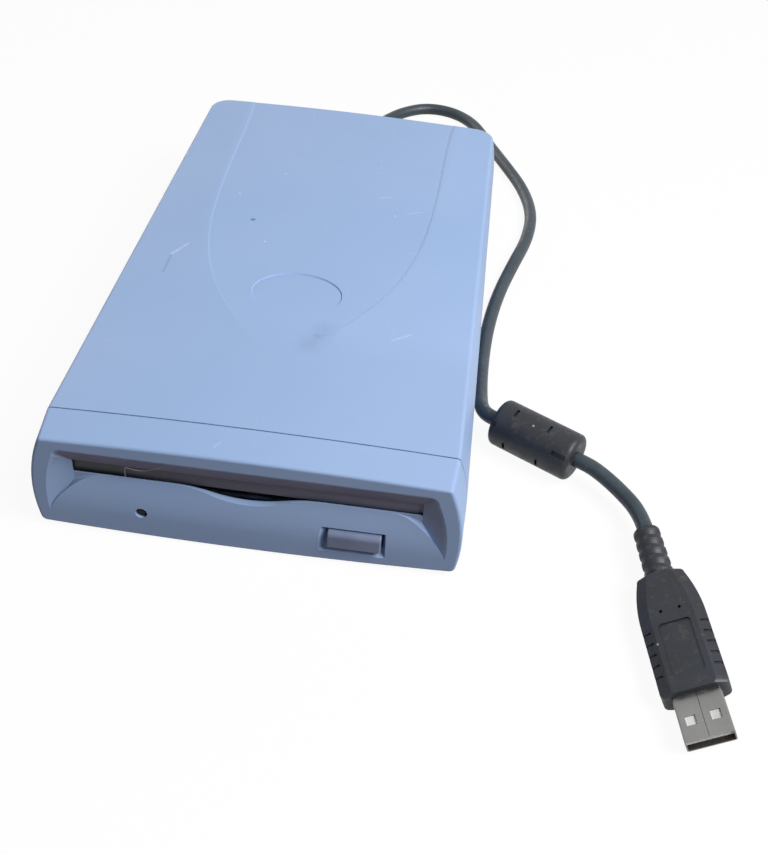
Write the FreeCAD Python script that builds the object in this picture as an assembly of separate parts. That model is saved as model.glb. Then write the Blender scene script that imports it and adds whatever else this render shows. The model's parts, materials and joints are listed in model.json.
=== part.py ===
"""External floppy disk drive with a USB cord, as an assembly of separate solids.

Millimetres, +Z up, front towards -Y. The origin is the bottom centre of the drive:
the rubber feet stand on z = 0. The cord and its plug lie on the same surface.
"""
import math
import os

import FreeCAD
import Part

V = FreeCAD.Vector
X_AXIS = V(1, 0, 0)
Y_AXIS = V(0, 1, 0)
Z_AXIS = V(0, 0, 1)

# ---------------------------------------------------------------- the disk it takes
DISK_WIDTH = 90.0
DISK_THICKNESS = 3.3
DISK_SIDE_ROOM = 0.5
DISK_LIFT_ROOM = 1.0        # free height over the disk in the cradle and the slot
HUB_FROM_LABEL_END = 48.0
TRACK0_RADIUS = 39.5
HEAD_TRAVEL = 14.8

# ---------------------------------------------------------------- layout from front to back
BUTTON_PROUD = 1.0          # the button stands this far out of the bezel
BEZEL_DEPTH = 11.0
SEAM_GAP = 0.4              # shadow line between bezel and covers
FRAME_CLEARANCE = 0.6       # from the covers' front edge to the drive's frame
DISK_FROM_FRONT = 6.5       # label end of a loaded disk behind the bezel's face
STEPPER_FROM_HEAD = 44.0
STEPPER_LENGTH = 15.0
STEPPER_END_ROOM = 5.0
REAR_ROOM = 30.0            # behind the drive, for the bridge board and the cord

HEAD_FROM_FRONT = DISK_FROM_FRONT + HUB_FROM_LABEL_END + TRACK0_RADIUS
FRAME_END_FROM_FRONT = HEAD_FROM_FRONT + STEPPER_FROM_HEAD + STEPPER_LENGTH + STEPPER_END_ROOM
CASE_DEPTH = FRAME_END_FROM_FRONT + REAR_ROOM

Y_FRONT = -(CASE_DEPTH - BUTTON_PROUD) / 2
Y_BACK = Y_FRONT + CASE_DEPTH
Y_BEZEL_BACK = Y_FRONT + BEZEL_DEPTH
Y_SEAM = Y_BEZEL_BACK + SEAM_GAP
FRAME_Y = Y_SEAM + FRAME_CLEARANCE
FRAME_END_Y = Y_FRONT + FRAME_END_FROM_FRONT
HEAD_Y = Y_FRONT + HEAD_FROM_FRONT
SPINDLE = V(0, HEAD_Y - TRACK0_RADIUS, 0)

# ---------------------------------------------------------------- layout across
SIDE_ROOM = 5.3             # cradle wall, slide wall and frame rail beside the disk
BAY_HALF = DISK_WIDTH / 2 + DISK_SIDE_ROOM
FRAME_HALF = BAY_HALF + SIDE_ROOM
BAY_HEIGHT = DISK_THICKNESS + DISK_LIFT_ROOM

# ---------------------------------------------------------------- enclosure
WALL = 2.0
PARTING_Z = 10.0            # joint line of top cover and bottom case
LAP_HEIGHT = 2.0            # the case's lip behind the cover's skirt
LAP_CLEARANCE = 0.1
TOP_EDGE_Z = 33.0
CORNER_Z = 2.1              # height of the lower side edges
TOP_CROWN = 1.1             # rise of the top at its middle
BOTTOM_CROWN = 1.5          # fall of the bottom at its middle
BULGE_Z = 12.5              # height of the widest line of the sides
BACK_CORNER_R = 6.5
TOP_EDGE_R = 1.2
BOTTOM_EDGE_R = 1.8
TOP_ROOM = 2.4              # from the drive's side to the top edge of the covers
BULGE_ROOM = 5.6            # the same at the widest line
FRONT_TAPER = 0.9           # the bezel's top edge draws in towards the front
BACK_TAPER = 2.6            # the sides' bulge flattens towards the back

# half-widths of a cross-section: top edge, widest line, lower edge; then top edge height
SEAM_SECTION = (FRAME_HALF + TOP_ROOM, FRAME_HALF + BULGE_ROOM, FRAME_HALF + BULGE_ROOM - 1.8, TOP_EDGE_Z)
FRONT_SECTION = (SEAM_SECTION[0] - FRONT_TAPER, SEAM_SECTION[1], SEAM_SECTION[2] + 0.8, TOP_EDGE_Z - 0.8)
BACK_SECTION = (SEAM_SECTION[0] - 1.2, SEAM_SECTION[1] - BACK_TAPER, SEAM_SECTION[2] - 2.0, TOP_EDGE_Z)

# badge recess and sunken tongue of the top
BADGE_Y = -21.8
BADGE_HALF_X = 13.6
BADGE_HALF_Y = 10.3
BADGE_DEPTH = 0.6
TONGUE_SINK = 0.4           # depth of the tongue at the back edge
TONGUE_APEX_Y = -47.0
TONGUE_SLOPE = 2.5          # run of the tongue's soft edge for each millimetre of depth
TONGUE_SHOULDER = (33.0, 8.0)   # half-width and y where the arch turns into the sides
TONGUE_BACK_HALF = 38.0

# ---------------------------------------------------------------- bezel front
SLOT_HALF = BAY_HALF
SLOT_BOTTOM_Z = 19.5
SLOT_HEIGHT = BAY_HEIGHT
FUNNEL_DEPTH = 2.6          # from the rim plane to the slot edges
FUNNEL_RISE = 5.5           # height of the sloping ceiling over the slot
CHEEK_FLARE = 4.0           # the cheeks' spread at the ceiling
TIP_FLARE = 7.0             # their spread where they run out beside the lip
TIP_FALL = 12.7             # depth of that point below the slot
BEZEL_FACE = 3.0            # thickness of the bezel's face
LIP_R = 33.5                # radius of the rolled lip under the slot
LIP_ARC_INSET = 8.6         # from the slot's end to the centre of the arc that ends the lip
LIP_ARC_DROP = 17.1         # from the slot's lower edge to that centre
LIP_ARC_R_FRONT = 16.1
CHEEK_BOW = 1.2             # the cheeks' outer edges swell by this much
FUNNEL_CORNER_R = 2.2       # rounding of the recess's upper corners at the rim
DIP_HALF = 19.0             # finger dip in the lip
DIP_DEPTH = 2.7

LED_X = 17.6 - SLOT_HALF
LED_Z = 9.5
LED_R = 1.5
LED_CLEARANCE = 0.1
LED_SINK = 0.6

BUTTON_X = (SLOT_HALF - 24.1, SLOT_HALF - 9.9)
BUTTON_Z = (6.8, 12.3)
BUTTON_GAP = 0.4
BUTTON_TOP_R = 1.6          # large rounding of the key's upper front edge
POCKET_TOP_GAP = 0.6
POCKET_BEVEL = 2.0
BUTTON_LENGTH = 15.0

# ---------------------------------------------------------------- door
DOOR_SET_BACK = 0.6
DOOR_THICKNESS = 1.0
DOOR_OVERLAP = 0.7          # past the slot's ends
DOOR_BOTTOM_Z = SLOT_BOTTOM_Z - 0.3
DOOR_PIVOT_Z = SLOT_BOTTOM_Z + SLOT_HEIGHT + 1.5
DOOR_PIN_R = 0.6
DOOR_SPRING_ROOM = 2.8      # between the door's end and the lug of its pin
RUNNING_CLEARANCE = 0.05

# ---------------------------------------------------------------- mechanism
BAY_BOTTOM_Z = SLOT_BOTTOM_Z + 0.1
EJECT_TRAVEL = 5.0
HOLDER_DROP = 2.0
SHEET = 0.8
FRAME_SHEET = 1.2
RAIL_BOTTOM_Z = 4.9
DECK_Z = 8.0
RAIL_TOP_Z = 22.0
SHIELD_TOP_Z = 29.6

HOLDER_Y = (FRAME_Y + 1.0, HEAD_Y + 13.5)
HOLDER_TOP_Z = BAY_BOTTOM_Z + BAY_HEIGHT
ROLLER_R = 1.5
ROLLER_Z = BAY_BOTTOM_Z + 0.7
ROLLER_Y = (HOLDER_Y[0] + 16.0, HOLDER_Y[1] - 20.0)
HOLDER_RAIL = 6.5           # width of the turned-in rails under the disk
SLIDE_GAP = 0.5
SLIDE_WALL_X = (BAY_HALF + SHEET + SLIDE_GAP, BAY_HALF + 2 * SHEET + SLIDE_GAP)
SLIDE_Y = (FRAME_Y + 6.5, HOLDER_Y[1] + 1.0)
SLIDE_Z = 15.8
SLIDE_BAND = 9.0            # depth of its front cross-band
SLIDE_STRIP = 16.0          # width of its side strips
SPRING_X = -(BAY_HALF - 11.0)

ROTOR_R = 22.0
ROTOR_RIM = 3.0
ROTOR_Z = (11.0, 15.4)
HUB_R = 12.0
HUB_TOP_Z = 18.4
SPINDLE_PIN_R = 2.0
SPINDLE_PIN_TOP_Z = 19.3
COIL_R = 4.2
COIL_RING_R = ROTOR_R - ROTOR_RIM - COIL_R - 0.3
MOTOR_BOARD_HALF = ROTOR_R + 8.0

RAIL_X = 15.0               # guide rod at -RAIL_X, lead screw at +RAIL_X
RAIL_Z = 14.0
ROD_R = 1.5
ROD_FRONT_Y = HEAD_Y - HEAD_TRAVEL - 2.2
CLAMP_FRONT_Y = ROD_FRONT_Y - 0.5
STEPPER_R = 7.0
STEPPER_Y = HEAD_Y + STEPPER_FROM_HEAD
LOWER_HEAD_Z = 19.3
HEAD_GAP = 0.2              # room for the disk's film between the closed heads
HEAD_PAD_HALF = (3.4, 4.2)  # half-width and half-length of each head's pad
ARM_PIVOT = V(0, STEPPER_Y - 7.5, LOWER_HEAD_Z + 3.3)
ARM_LIFT = 5.8              # degrees that the arm is lifted while no disk is in
ARM_PIN_R = 0.9

LEVER_PIVOT = V(BAY_HALF - 7.5, HOLDER_Y[1] - 4.0, 0)
LEVER_LENGTH = 26.0
LEVER_REST_ANGLE = 235.0
LEVER_SWING = 55.0

# ---------------------------------------------------------------- boards
BOARD = 1.4
LOGIC_HALF = 32.0
LOGIC_Z = RAIL_BOTTOM_Z
LOGIC_Y = (HEAD_Y - 8.5, FRAME_END_Y - 2.0)
BRIDGE_HALF = 34.0
BRIDGE_Z = 8.0
BRIDGE_Y = (FRAME_END_Y + 2.3, Y_BACK - WALL - 2.3)
BRIDGE_POSTS = [(x, y) for x in (-BRIDGE_HALF + 4, BRIDGE_HALF - 4) for y in (BRIDGE_Y[0] + 3.2, BRIDGE_Y[1] - 3.2)]
RIBBON_HALF = 13.0
RIBBON_THICKNESS = 0.3

# ---------------------------------------------------------------- fixings
SCREW_R = 1.4
SCREW_HEAD_R = 2.75
SCREW_HEAD_H = 1.8
SCREW_CLEARANCE = 0.1
BOSS_R = 3.6
DRIVE_SCREW_X = FRAME_HALF - 12.8
DRIVE_SCREWS = [(x, y) for x in (-DRIVE_SCREW_X, DRIVE_SCREW_X) for y in (FRAME_Y + 20.5, FRAME_END_Y - 16.5)]
CASE_SCREW_X = FRAME_HALF - 7.8
CASE_SCREWS = [(x, Y_BACK - 10.5) for x in (-CASE_SCREW_X, CASE_SCREW_X)]
FOOT_R = 5.0
FOOT_X = FRAME_HALF - 7.8
FEET = [(x, y) for x in (-FOOT_X, FOOT_X) for y in (Y_FRONT + 19.5, Y_BACK - 24.5)]
FOOT_SEAT_Z = 2.3

# ---------------------------------------------------------------- cord
CORD_R = 2.25
CORD_LIE_Z = CORD_R + 0.05
EXIT_X = -5.0
EXIT_Z = 12.0
GLAND_R = 4.5
GLAND_LENGTH = 12.0
FERRITE_R = 7.2
FERRITE_LENGTH = 26.4
FERRITE_ENTRY = 5.9         # from the route point to the ferrite's end
FERRITE_FROM = V(58.6, -33.7, FERRITE_R + 0.1)
FERRITE_TO = V(92.3, -52.0, FERRITE_R + 0.1)
FERRITE_SEAM = 33.0         # tilt of the choke's parting line above its front side
FERRITE_SLIT_TILT = 48.0    # from the parting line to each row of slits
FERRITE_NOTCH_DEPTH = 0.9
PLUG_AXIS_Z = 6.1
PLUG_ROLL = 24.0            # the plug lies rolled onto its left lower edge
STRAIN_LENGTH = 17.4
STRAIN_RIBS = 5
MOULD_LENGTH = 36.1
MOULD_HALF = 8.4            # half-width at the side walls
MOULD_BACK_HALF = 6.3
MOULD_CORNER_R = 1.4
MOULD_RIM = 0.2             # easing of the rim round each flat
MOULD_SWELL = 15.0          # length of the arc from the narrow back to the full width
MOULD_HALF_Z = 4.1
MOULD_SIDE_Z = 2.7          # half-height of the side walls
MOULD_SLOPE = 2.7           # the bevels draw in by this much from side wall to flat
GRIP_GROOVES = 5
SHELL_LENGTH = 12.1
SHELL_WIDTH = 12.0
SHELL_HEIGHT = 4.5
SHELL_SHEET = 0.35
SHELL_SEAT = 6.0            # how far the shell reaches into the plug body

# route of the cord, from the gland to the plug's strain relief
CORD_ROUTE = [
    V(EXIT_X, Y_BACK + GLAND_LENGTH, EXIT_Z),
    V(EXIT_X, 117.0, EXIT_Z),
    V(-2.6, 128.4, 8.3),
    V(1.4, 139.2, 3.3),
    V(5.0, 150.2, CORD_LIE_Z),
    V(12.3, 161.0, CORD_LIE_Z),
    V(22.3, 167.9, CORD_LIE_Z),
    V(34.2, 166.5, CORD_LIE_Z),
    V(43.8, 157.8, CORD_LIE_Z),
    V(50.3, 143.0, CORD_LIE_Z),
    V(58.6, 126.0, CORD_LIE_Z),
    V(66.4, 109.0, CORD_LIE_Z),
    V(70.7, 90.5, CORD_LIE_Z),
    V(69.3, 72.0, CORD_LIE_Z),
    V(64.8, 54.5, CORD_LIE_Z),
    V(60.4, 35.0, CORD_LIE_Z),
    V(57.9, 15.5, CORD_LIE_Z),
    V(57.2, -3.0, CORD_LIE_Z),
    V(57.6, -20.8, 3.1),
    FERRITE_FROM,
    FERRITE_TO,
    V(98.9, -57.7, PLUG_AXIS_Z + 0.2),
    V(105.1, -66.2, PLUG_AXIS_Z),
    V(106.4, -73.0, PLUG_AXIS_Z),
]


# ================================================================ helpers
def box(x0, x1, y0, y1, z0, z1):
    return Part.makeBox(x1 - x0, y1 - y0, z1 - z0, V(x0, y0, z0))


def rod(radius, start, end):
    along = end - start
    return Part.makeCylinder(radius, along.Length, start, along)


def tube(outer, inner, start, end):
    return rod(outer, start, end).cut(rod(inner, start, end))


def prism(points, along):
    wire = Part.makePolygon(points + [points[0]])
    return Part.Face(wire).extrude(along)


def mirror_x(shape):
    return shape.mirror(V(0, 0, 0), X_AXIS)


def both_sides(shape):
    return [shape, mirror_x(shape)]


def fuse(shapes):
    result = shapes[0]
    if len(shapes) > 1:
        result = result.multiFuse(shapes[1:])
    return result.removeSplitter()


def cut(shape, tools):
    return shape.cut(Part.makeCompound(tools)).removeSplitter()


def rounded_box(x0, x1, y0, y1, z0, z1, radius, along="z"):
    """A box whose four edges along one axis are rounded."""
    solid = box(x0, x1, y0, y1, z0, z1)
    direction = {"x": X_AXIS, "y": Y_AXIS, "z": Z_AXIS}[along]
    edges = [e for e in solid.Edges if abs(e.tangentAt(0).dot(direction)) > 0.99]
    return solid.makeFillet(radius, edges)


def slanted_slot(x0, x1, start, end, radius):
    """A slot through a wall that faces X, with round ends at two (y, z) points."""
    ends = [rod(radius, V(x0, y, z), V(x1, y, z)) for y, z in (start, end)]
    run = V(0, end[0] - start[0], end[1] - start[1])
    side = V(0, -run.z, run.y).normalize() * radius
    origin = V(x0, start[0], start[1])
    corners = [origin + side, origin - side, origin + run - side, origin + run + side]
    return fuse(ends + [prism(corners, V(x1 - x0, 0, 0))])


# ================================================================ outer form
def blend(a, b, share):
    return tuple(p + (q - p) * share for p, q in zip(a, b))


def section_wire(y, section, inset=0.0, sink=0.0):
    """Closed cross-section: crowned top and bottom, sides bowed outwards."""
    top_half, wide_half, low_half, top_z = section
    top_z = top_z - inset - sink
    low_z = CORNER_Z + inset
    top_half, wide_half, low_half = top_half - inset, wide_half - inset, low_half - inset
    corner = [V(-top_half, y, top_z), V(top_half, y, top_z),
              V(low_half, y, low_z), V(-low_half, y, low_z)]
    top = Part.Arc(corner[0], V(0, y, top_z + TOP_CROWN), corner[1])
    right = Part.Arc(corner[1], V(wide_half, y, BULGE_Z), corner[2])
    bottom = Part.Arc(corner[2], V(0, y, low_z - BOTTOM_CROWN), corner[3])
    left = Part.Arc(corner[3], V(-wide_half, y, BULGE_Z), corner[0])
    return Part.Wire([arc.toShape() for arc in (top, right, bottom, left)])


def body_section(y, inset=0.0, sink=0.0):
    share = (y - Y_SEAM) / (Y_BACK - Y_SEAM)
    return section_wire(y, blend(SEAM_SECTION, BACK_SECTION, share), inset, sink * share)


def body_form(y0, y1, inset=0.0, sink=0.0):
    return Part.makeLoft([body_section(y0, inset, sink), body_section(y1, inset, sink)], True, True)


def round_long_edges(solid):
    """Round the four lengthwise edges: the upper pair crisp, the lower pair soft."""
    def lengthwise(edge):
        ends = [v.Point for v in edge.Vertexes]
        return len(ends) == 2 and abs(ends[0].y - ends[1].y) > 1.0

    long_edges = [e for e in solid.Edges if lengthwise(e)]
    upper = [e for e in long_edges if e.CenterOfMass.z > BULGE_Z]
    lower = [e for e in long_edges if e.CenterOfMass.z < BULGE_Z]
    return solid.makeFillet(TOP_EDGE_R, upper).makeFillet(BOTTOM_EDGE_R, lower)


def back_uprights(solid, y):
    """The two upright edges of the face at this y."""
    return [e for e in solid.Edges
            if all(abs(v.Point.y - y) < 0.01 for v in e.Vertexes)
            and abs(e.Vertexes[0].Point.z - e.Vertexes[-1].Point.z) > 5.0]


def enclosure_outer():
    """The whole rear body: rounded in plan at the back, edges softened all round."""
    solid = body_form(Y_SEAM, Y_BACK)
    solid = solid.makeFillet(BACK_CORNER_R, back_uprights(solid, Y_BACK))
    top = [e for e in solid.Edges if e.CenterOfMass.z > TOP_EDGE_Z - 0.2
           and not all(abs(v.Point.y - Y_SEAM) < 0.01 for v in e.Vertexes)]
    solid = solid.makeFillet(TOP_EDGE_R, top)
    low = [e for e in solid.Edges if e.CenterOfMass.z < CORNER_Z + 0.2
           and not all(abs(v.Point.y - Y_SEAM) < 0.01 for v in e.Vertexes)]
    return solid.makeFillet(BOTTOM_EDGE_R, low)


def enclosure_inner(inset, y0=Y_SEAM - 1.0):
    solid = body_form(y0, Y_BACK - inset, inset)
    return solid.makeFillet(BACK_CORNER_R - inset, back_uprights(solid, Y_BACK - inset))


def tongue_outline(z, grow):
    """Arch on the top at one height, open at the back: a nose that widens into straight sides."""
    half, shoulder_y = TONGUE_SHOULDER
    apex = V(0, TONGUE_APEX_Y - grow, z)
    right = [V(half * 0.45 + 0.6 * grow, TONGUE_APEX_Y + 12.0 - 0.8 * grow, z),
             V(half + 0.95 * grow, shoulder_y - 0.3 * grow, z)]
    back = V(TONGUE_BACK_HALF + grow, Y_BACK + 1.0, z)
    curve = Part.BSplineCurve()
    left = [V(-p.x, p.y, z) for p in right]
    curve.interpolate([V(-back.x, back.y, z)] + left[::-1] + [apex] + right + [back])
    return Part.Wire([curve.toShape(), Part.LineSegment(back, V(-back.x, back.y, z)).toShape()])


def tongue_tool():
    """The space over the sunken tongue; its edge slopes gently up to the top."""
    edge_z = TOP_EDGE_Z + TOP_CROWN / 2
    levels = [(z, (z - edge_z) * TONGUE_SLOPE) for z in (TOP_EDGE_Z - 0.6, TOP_EDGE_Z + TOP_CROWN + 0.8)]
    space = Part.makeLoft([tongue_outline(z, grow) for z, grow in levels], True, True)
    return space.cut(body_form(Y_SEAM - 1, Y_BACK + 2, 0, TONGUE_SINK))


# ================================================================ covers
def top_cover(outer, inner):
    reach = FRAME_HALF + 20.0
    above = box(-reach, reach, Y_SEAM, Y_BACK + 1, PARTING_Z, TOP_EDGE_Z + 10)
    shell = outer.common(above).cut(inner)
    rebate = enclosure_inner(WALL / 2).common(
        box(-reach, reach, Y_SEAM - 1, Y_BACK, PARTING_Z - 1, PARTING_Z + LAP_HEIGHT + LAP_CLEARANCE))
    badge = badge_recess()
    posts = [rod(BOSS_R, V(x, y, PARTING_Z + LAP_HEIGHT + 1), V(x, y, TOP_EDGE_Z - WALL / 2))
             for x, y in CASE_SCREWS]
    pilot = [rod(SCREW_R, V(x, y, PARTING_Z), V(x, y, TOP_EDGE_Z - 2 * WALL - 4)) for x, y in CASE_SCREWS]
    shell = cut(shell, [rebate, tongue_tool(), badge, cord_hole()])
    return cut(fuse([shell] + posts), pilot)


def badge_recess():
    """Shallow oval with a bevelled rim, left bare."""
    floor_z = TOP_EDGE_Z + TOP_CROWN - BADGE_DEPTH
    rims = []
    for rise, grow in ((0.0, 0.0), (BADGE_DEPTH + 0.6, 0.7)):
        oval = Part.Ellipse(V(0, BADGE_Y, floor_z + rise), BADGE_HALF_X - 0.4 + grow, BADGE_HALF_Y - 0.4 + grow)
        rims.append(Part.Wire([oval.toShape()]))
    return Part.makeLoft(rims, True, True)


def cord_hole():
    return rod(GLAND_R - 1.0, V(EXIT_X, Y_BACK - 3 * WALL, EXIT_Z), V(EXIT_X, Y_BACK + 1, EXIT_Z))


def bottom_case(outer, inner):
    reach = FRAME_HALF + 20.0
    below = box(-reach, reach, Y_SEAM, Y_BACK + 1, -5, PARTING_Z)
    tray = outer.common(below).cut(inner)
    lip = enclosure_inner(WALL / 2 + LAP_CLEARANCE, Y_SEAM).cut(inner).common(
        box(-reach, reach, Y_SEAM, Y_BACK, PARTING_Z - 0.5, PARTING_Z + LAP_HEIGHT))
    solids = [tray, lip]
    solids += [rod(BOSS_R, V(x, y, CORNER_Z - 0.3), V(x, y, DECK_Z)) for x, y in DRIVE_SCREWS]
    solids += [rod(BOSS_R, V(x, y, CORNER_Z - 0.3), V(x, y, PARTING_Z + LAP_HEIGHT + 1)) for x, y in CASE_SCREWS]
    solids += both_sides(box(FRAME_HALF - 4, FRAME_HALF - 0.2, FRAME_Y, FRAME_Y + 12, 3.5, RAIL_BOTTOM_Z))
    solids += both_sides(box(FRAME_HALF - 4, FRAME_HALF - 0.2, FRAME_END_Y - 20, FRAME_END_Y - 8, 3.5, RAIL_BOTTOM_Z))
    solids += [rod(2.2, V(x, y, 2.6), V(x, y, BRIDGE_Z)) for x, y in BRIDGE_POSTS]
    tray = fuse(solids)
    tools = [screw_well(x, y, DECK_Z) for x, y in DRIVE_SCREWS]
    tools += [screw_well(x, y, PARTING_Z + LAP_HEIGHT + 2) for x, y in CASE_SCREWS]
    tools += [rod(FOOT_R + 0.05, V(x, y, -1), V(x, y, FOOT_SEAT_Z)) for x, y in FEET]
    tools += [rod(0.9, V(x, y, BRIDGE_Z - 3), V(x, y, BRIDGE_Z + 1)) for x, y in BRIDGE_POSTS]
    tools.append(cord_hole())
    tools += vent_slots()
    return cut(tray, tools)


def screw_well(x, y, top_z):
    """Counterbore from below and the hole that the screw's shank passes."""
    seat_z = CORNER_Z + SCREW_HEAD_H
    well = rod(SCREW_HEAD_R + 0.3, V(x, y, -1), V(x, y, seat_z))
    return fuse([well, rod(SCREW_R + SCREW_CLEARANCE, V(x, y, seat_z - 0.5), V(x, y, top_z + 0.5))])


def vent_slots():
    """A row of cooling slots across the underside."""
    slots = []
    for i in range(7):
        y = 2.0 + 6.0 * i
        slots.append(rounded_box(-22, 22, y, y + 2.0, -1, 6, 0.99))
    return slots


def rubber_feet():
    feet = []
    for x, y in FEET:
        foot = rod(FOOT_R, V(x, y, 0), V(x, y, FOOT_SEAT_Z))
        rim = [e for e in foot.Edges if e.CenterOfMass.z < 0.1 and e.Length > FOOT_R]
        feet.append(foot.makeFillet(0.6, rim))
    return Part.makeCompound(feet)


def pan_screw(x, y, seat_z, tip_z):
    """Screw from below: a domed head with a cross recess under the shank."""
    head = rod(SCREW_HEAD_R, V(x, y, seat_z - SCREW_HEAD_H), V(x, y, seat_z))
    rim = [e for e in head.Edges if e.CenterOfMass.z < seat_z - 1 and e.Length > SCREW_HEAD_R]
    head = head.makeFillet(0.8, rim)
    shank = rod(SCREW_R, V(x, y, seat_z - 0.2), V(x, y, tip_z))
    arms = [box(x - a, x + a, y - b, y + b, seat_z - SCREW_HEAD_H - 1, seat_z - SCREW_HEAD_H + 0.9)
            for a, b in ((1.5, 0.3), (0.3, 1.5))]
    return cut(fuse([head, shank]), arms)


def case_screws():
    seat = CORNER_Z + SCREW_HEAD_H
    return Part.makeCompound([pan_screw(x, y, seat, TOP_EDGE_Z - 14) for x, y in CASE_SCREWS])


def drive_screws():
    seat = CORNER_Z + SCREW_HEAD_H
    return Part.makeCompound([pan_screw(x, y, seat, DECK_Z + FRAME_SHEET + 1.2) for x, y in DRIVE_SCREWS])


# ================================================================ bezel
def lip_arc_centre():
    return SLOT_HALF - LIP_ARC_INSET, SLOT_BOTTOM_Z - LIP_ARC_DROP


def funnel_outline(y, depth_share):
    """Outline of the recess at one depth: ceiling, cheeks, lip arcs and finger dip."""
    spread = 1.0 - depth_share
    arc_x, arc_z = lip_arc_centre()
    radius = LIP_ARC_R_FRONT + (LIP_ARC_DROP - LIP_ARC_R_FRONT) * depth_share
    low_z = arc_z + radius
    top_z = SLOT_BOTTOM_Z + SLOT_HEIGHT + FUNNEL_RISE * spread
    top_half = SLOT_HALF + CHEEK_FLARE * spread
    tip_half = SLOT_HALF + TIP_FLARE * spread
    tip_z = arc_z + math.sqrt(radius ** 2 - (tip_half - arc_x) ** 2)
    turn = math.atan2(tip_z - arc_z, tip_half - arc_x)
    mid = (turn + math.pi / 2) / 2
    round_r = 0.3 + FUNNEL_CORNER_R * spread
    bow = 0.05 + CHEEK_BOW * spread
    cheek_top_z = top_z - round_r
    cheek_mid = (top_half + tip_half) / 2 + bow, (cheek_top_z + tip_z) / 2

    def at(x, z):
        return V(x, y, z)

    def corner(side):
        middle_x = top_half - round_r * (1 - math.cos(math.pi / 4))
        return Part.Arc(at(side * (top_half - round_r), top_z),
                        at(side * middle_x, top_z - round_r * (1 - math.sin(math.pi / 4))),
                        at(side * top_half, cheek_top_z))

    def cheek(side):
        return Part.Arc(at(side * top_half, cheek_top_z), at(side * cheek_mid[0], cheek_mid[1]),
                        at(side * tip_half, tip_z))

    def lip_arc(side):
        return [at(side * tip_half, tip_z),
                at(side * (arc_x + radius * math.cos(mid)), arc_z + radius * math.sin(mid)),
                at(side * arc_x, low_z)]

    right, left = lip_arc(1), lip_arc(-1)
    ceiling_half = top_half - round_r
    edges = [Part.LineSegment(at(-ceiling_half, top_z), at(ceiling_half, top_z)),
             corner(1), cheek(1), Part.Arc(right[0], right[1], right[2])]
    edges += dip_edges(y, low_z, right[2], left[2])
    edges += [Part.Arc(left[2], left[1], left[0]), cheek(-1), corner(-1)]
    return Part.Wire(Part.__sortEdges__([edge.toShape() for edge in edges]))


def dip_edges(y, low_z, start, end):
    """Lower edge from right to left: straight, four equal arcs down and up again, straight."""
    radius = (DIP_HALF ** 2 + DIP_DEPTH ** 2) / (4 * DIP_DEPTH)
    half_turn = math.asin(DIP_HALF / 2 / radius) / 2
    reach, fall = radius * math.sin(half_turn), radius * (1 - math.cos(half_turn))

    def at(x, drop):
        return V(x, y, low_z - drop)

    points = [(DIP_HALF, 0), (DIP_HALF - reach, fall), (DIP_HALF / 2, DIP_DEPTH / 2),
              (reach, DIP_DEPTH - fall), (0, DIP_DEPTH)]
    right = [at(x, drop) for x, drop in points]
    left = [at(-x, drop) for x, drop in points[::-1]]
    return [Part.LineSegment(start, right[0]),
            Part.Arc(right[0], right[1], right[2]), Part.Arc(right[2], right[3], right[4]),
            Part.Arc(left[0], left[1], left[2]), Part.Arc(left[2], left[3], left[4]),
            Part.LineSegment(left[4], end)]


def lip_front_tool():
    """Space in front of the rolled lip, below its crest."""
    tip_half, tip_z = SLOT_HALF + TIP_FLARE, SLOT_BOTTOM_Z - TIP_FALL
    y0, y1 = Y_FRONT - 1.0, Y_FRONT + FUNNEL_DEPTH
    crest, radius = SLOT_BOTTOM_Z, LIP_ARC_DROP
    arc_x, arc_z = lip_arc_centre()
    turn = math.atan2(tip_z - arc_z, tip_half - arc_x)
    mid = (turn + math.pi / 2) / 2
    edge_x = arc_x + radius * math.cos(mid)
    edge_z = arc_z + radius * math.sin(mid)
    arcs = [Part.Arc(V(tip_half, y0, tip_z), V(edge_x, y0, edge_z), V(arc_x, y0, crest)),
            Part.LineSegment(V(arc_x, y0, crest), V(-arc_x, y0, crest)),
            Part.Arc(V(-arc_x, y0, crest), V(-edge_x, y0, edge_z), V(-tip_half, y0, tip_z)),
            Part.LineSegment(V(-tip_half, y0, tip_z), V(tip_half, y0, tip_z))]
    space = Part.Face(Part.Wire([a.toShape() for a in arcs])).extrude(V(0, y1 - y0, 0))
    reach = tip_half + 5
    roll = rod(LIP_R, V(-reach, Y_FRONT + LIP_R, tip_z), V(reach, Y_FRONT + LIP_R, tip_z))
    return space.cut(roll)


def bezel_outer():
    wires = [section_wire(Y_FRONT, FRONT_SECTION), section_wire(Y_BEZEL_BACK, SEAM_SECTION)]
    solid = round_long_edges(Part.makeLoft(wires, True, True))
    rim = [e for e in solid.Edges if all(abs(v.Point.y - Y_FRONT) < 0.01 for v in e.Vertexes)]
    return solid.makeFillet(0.8, rim)


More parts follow.
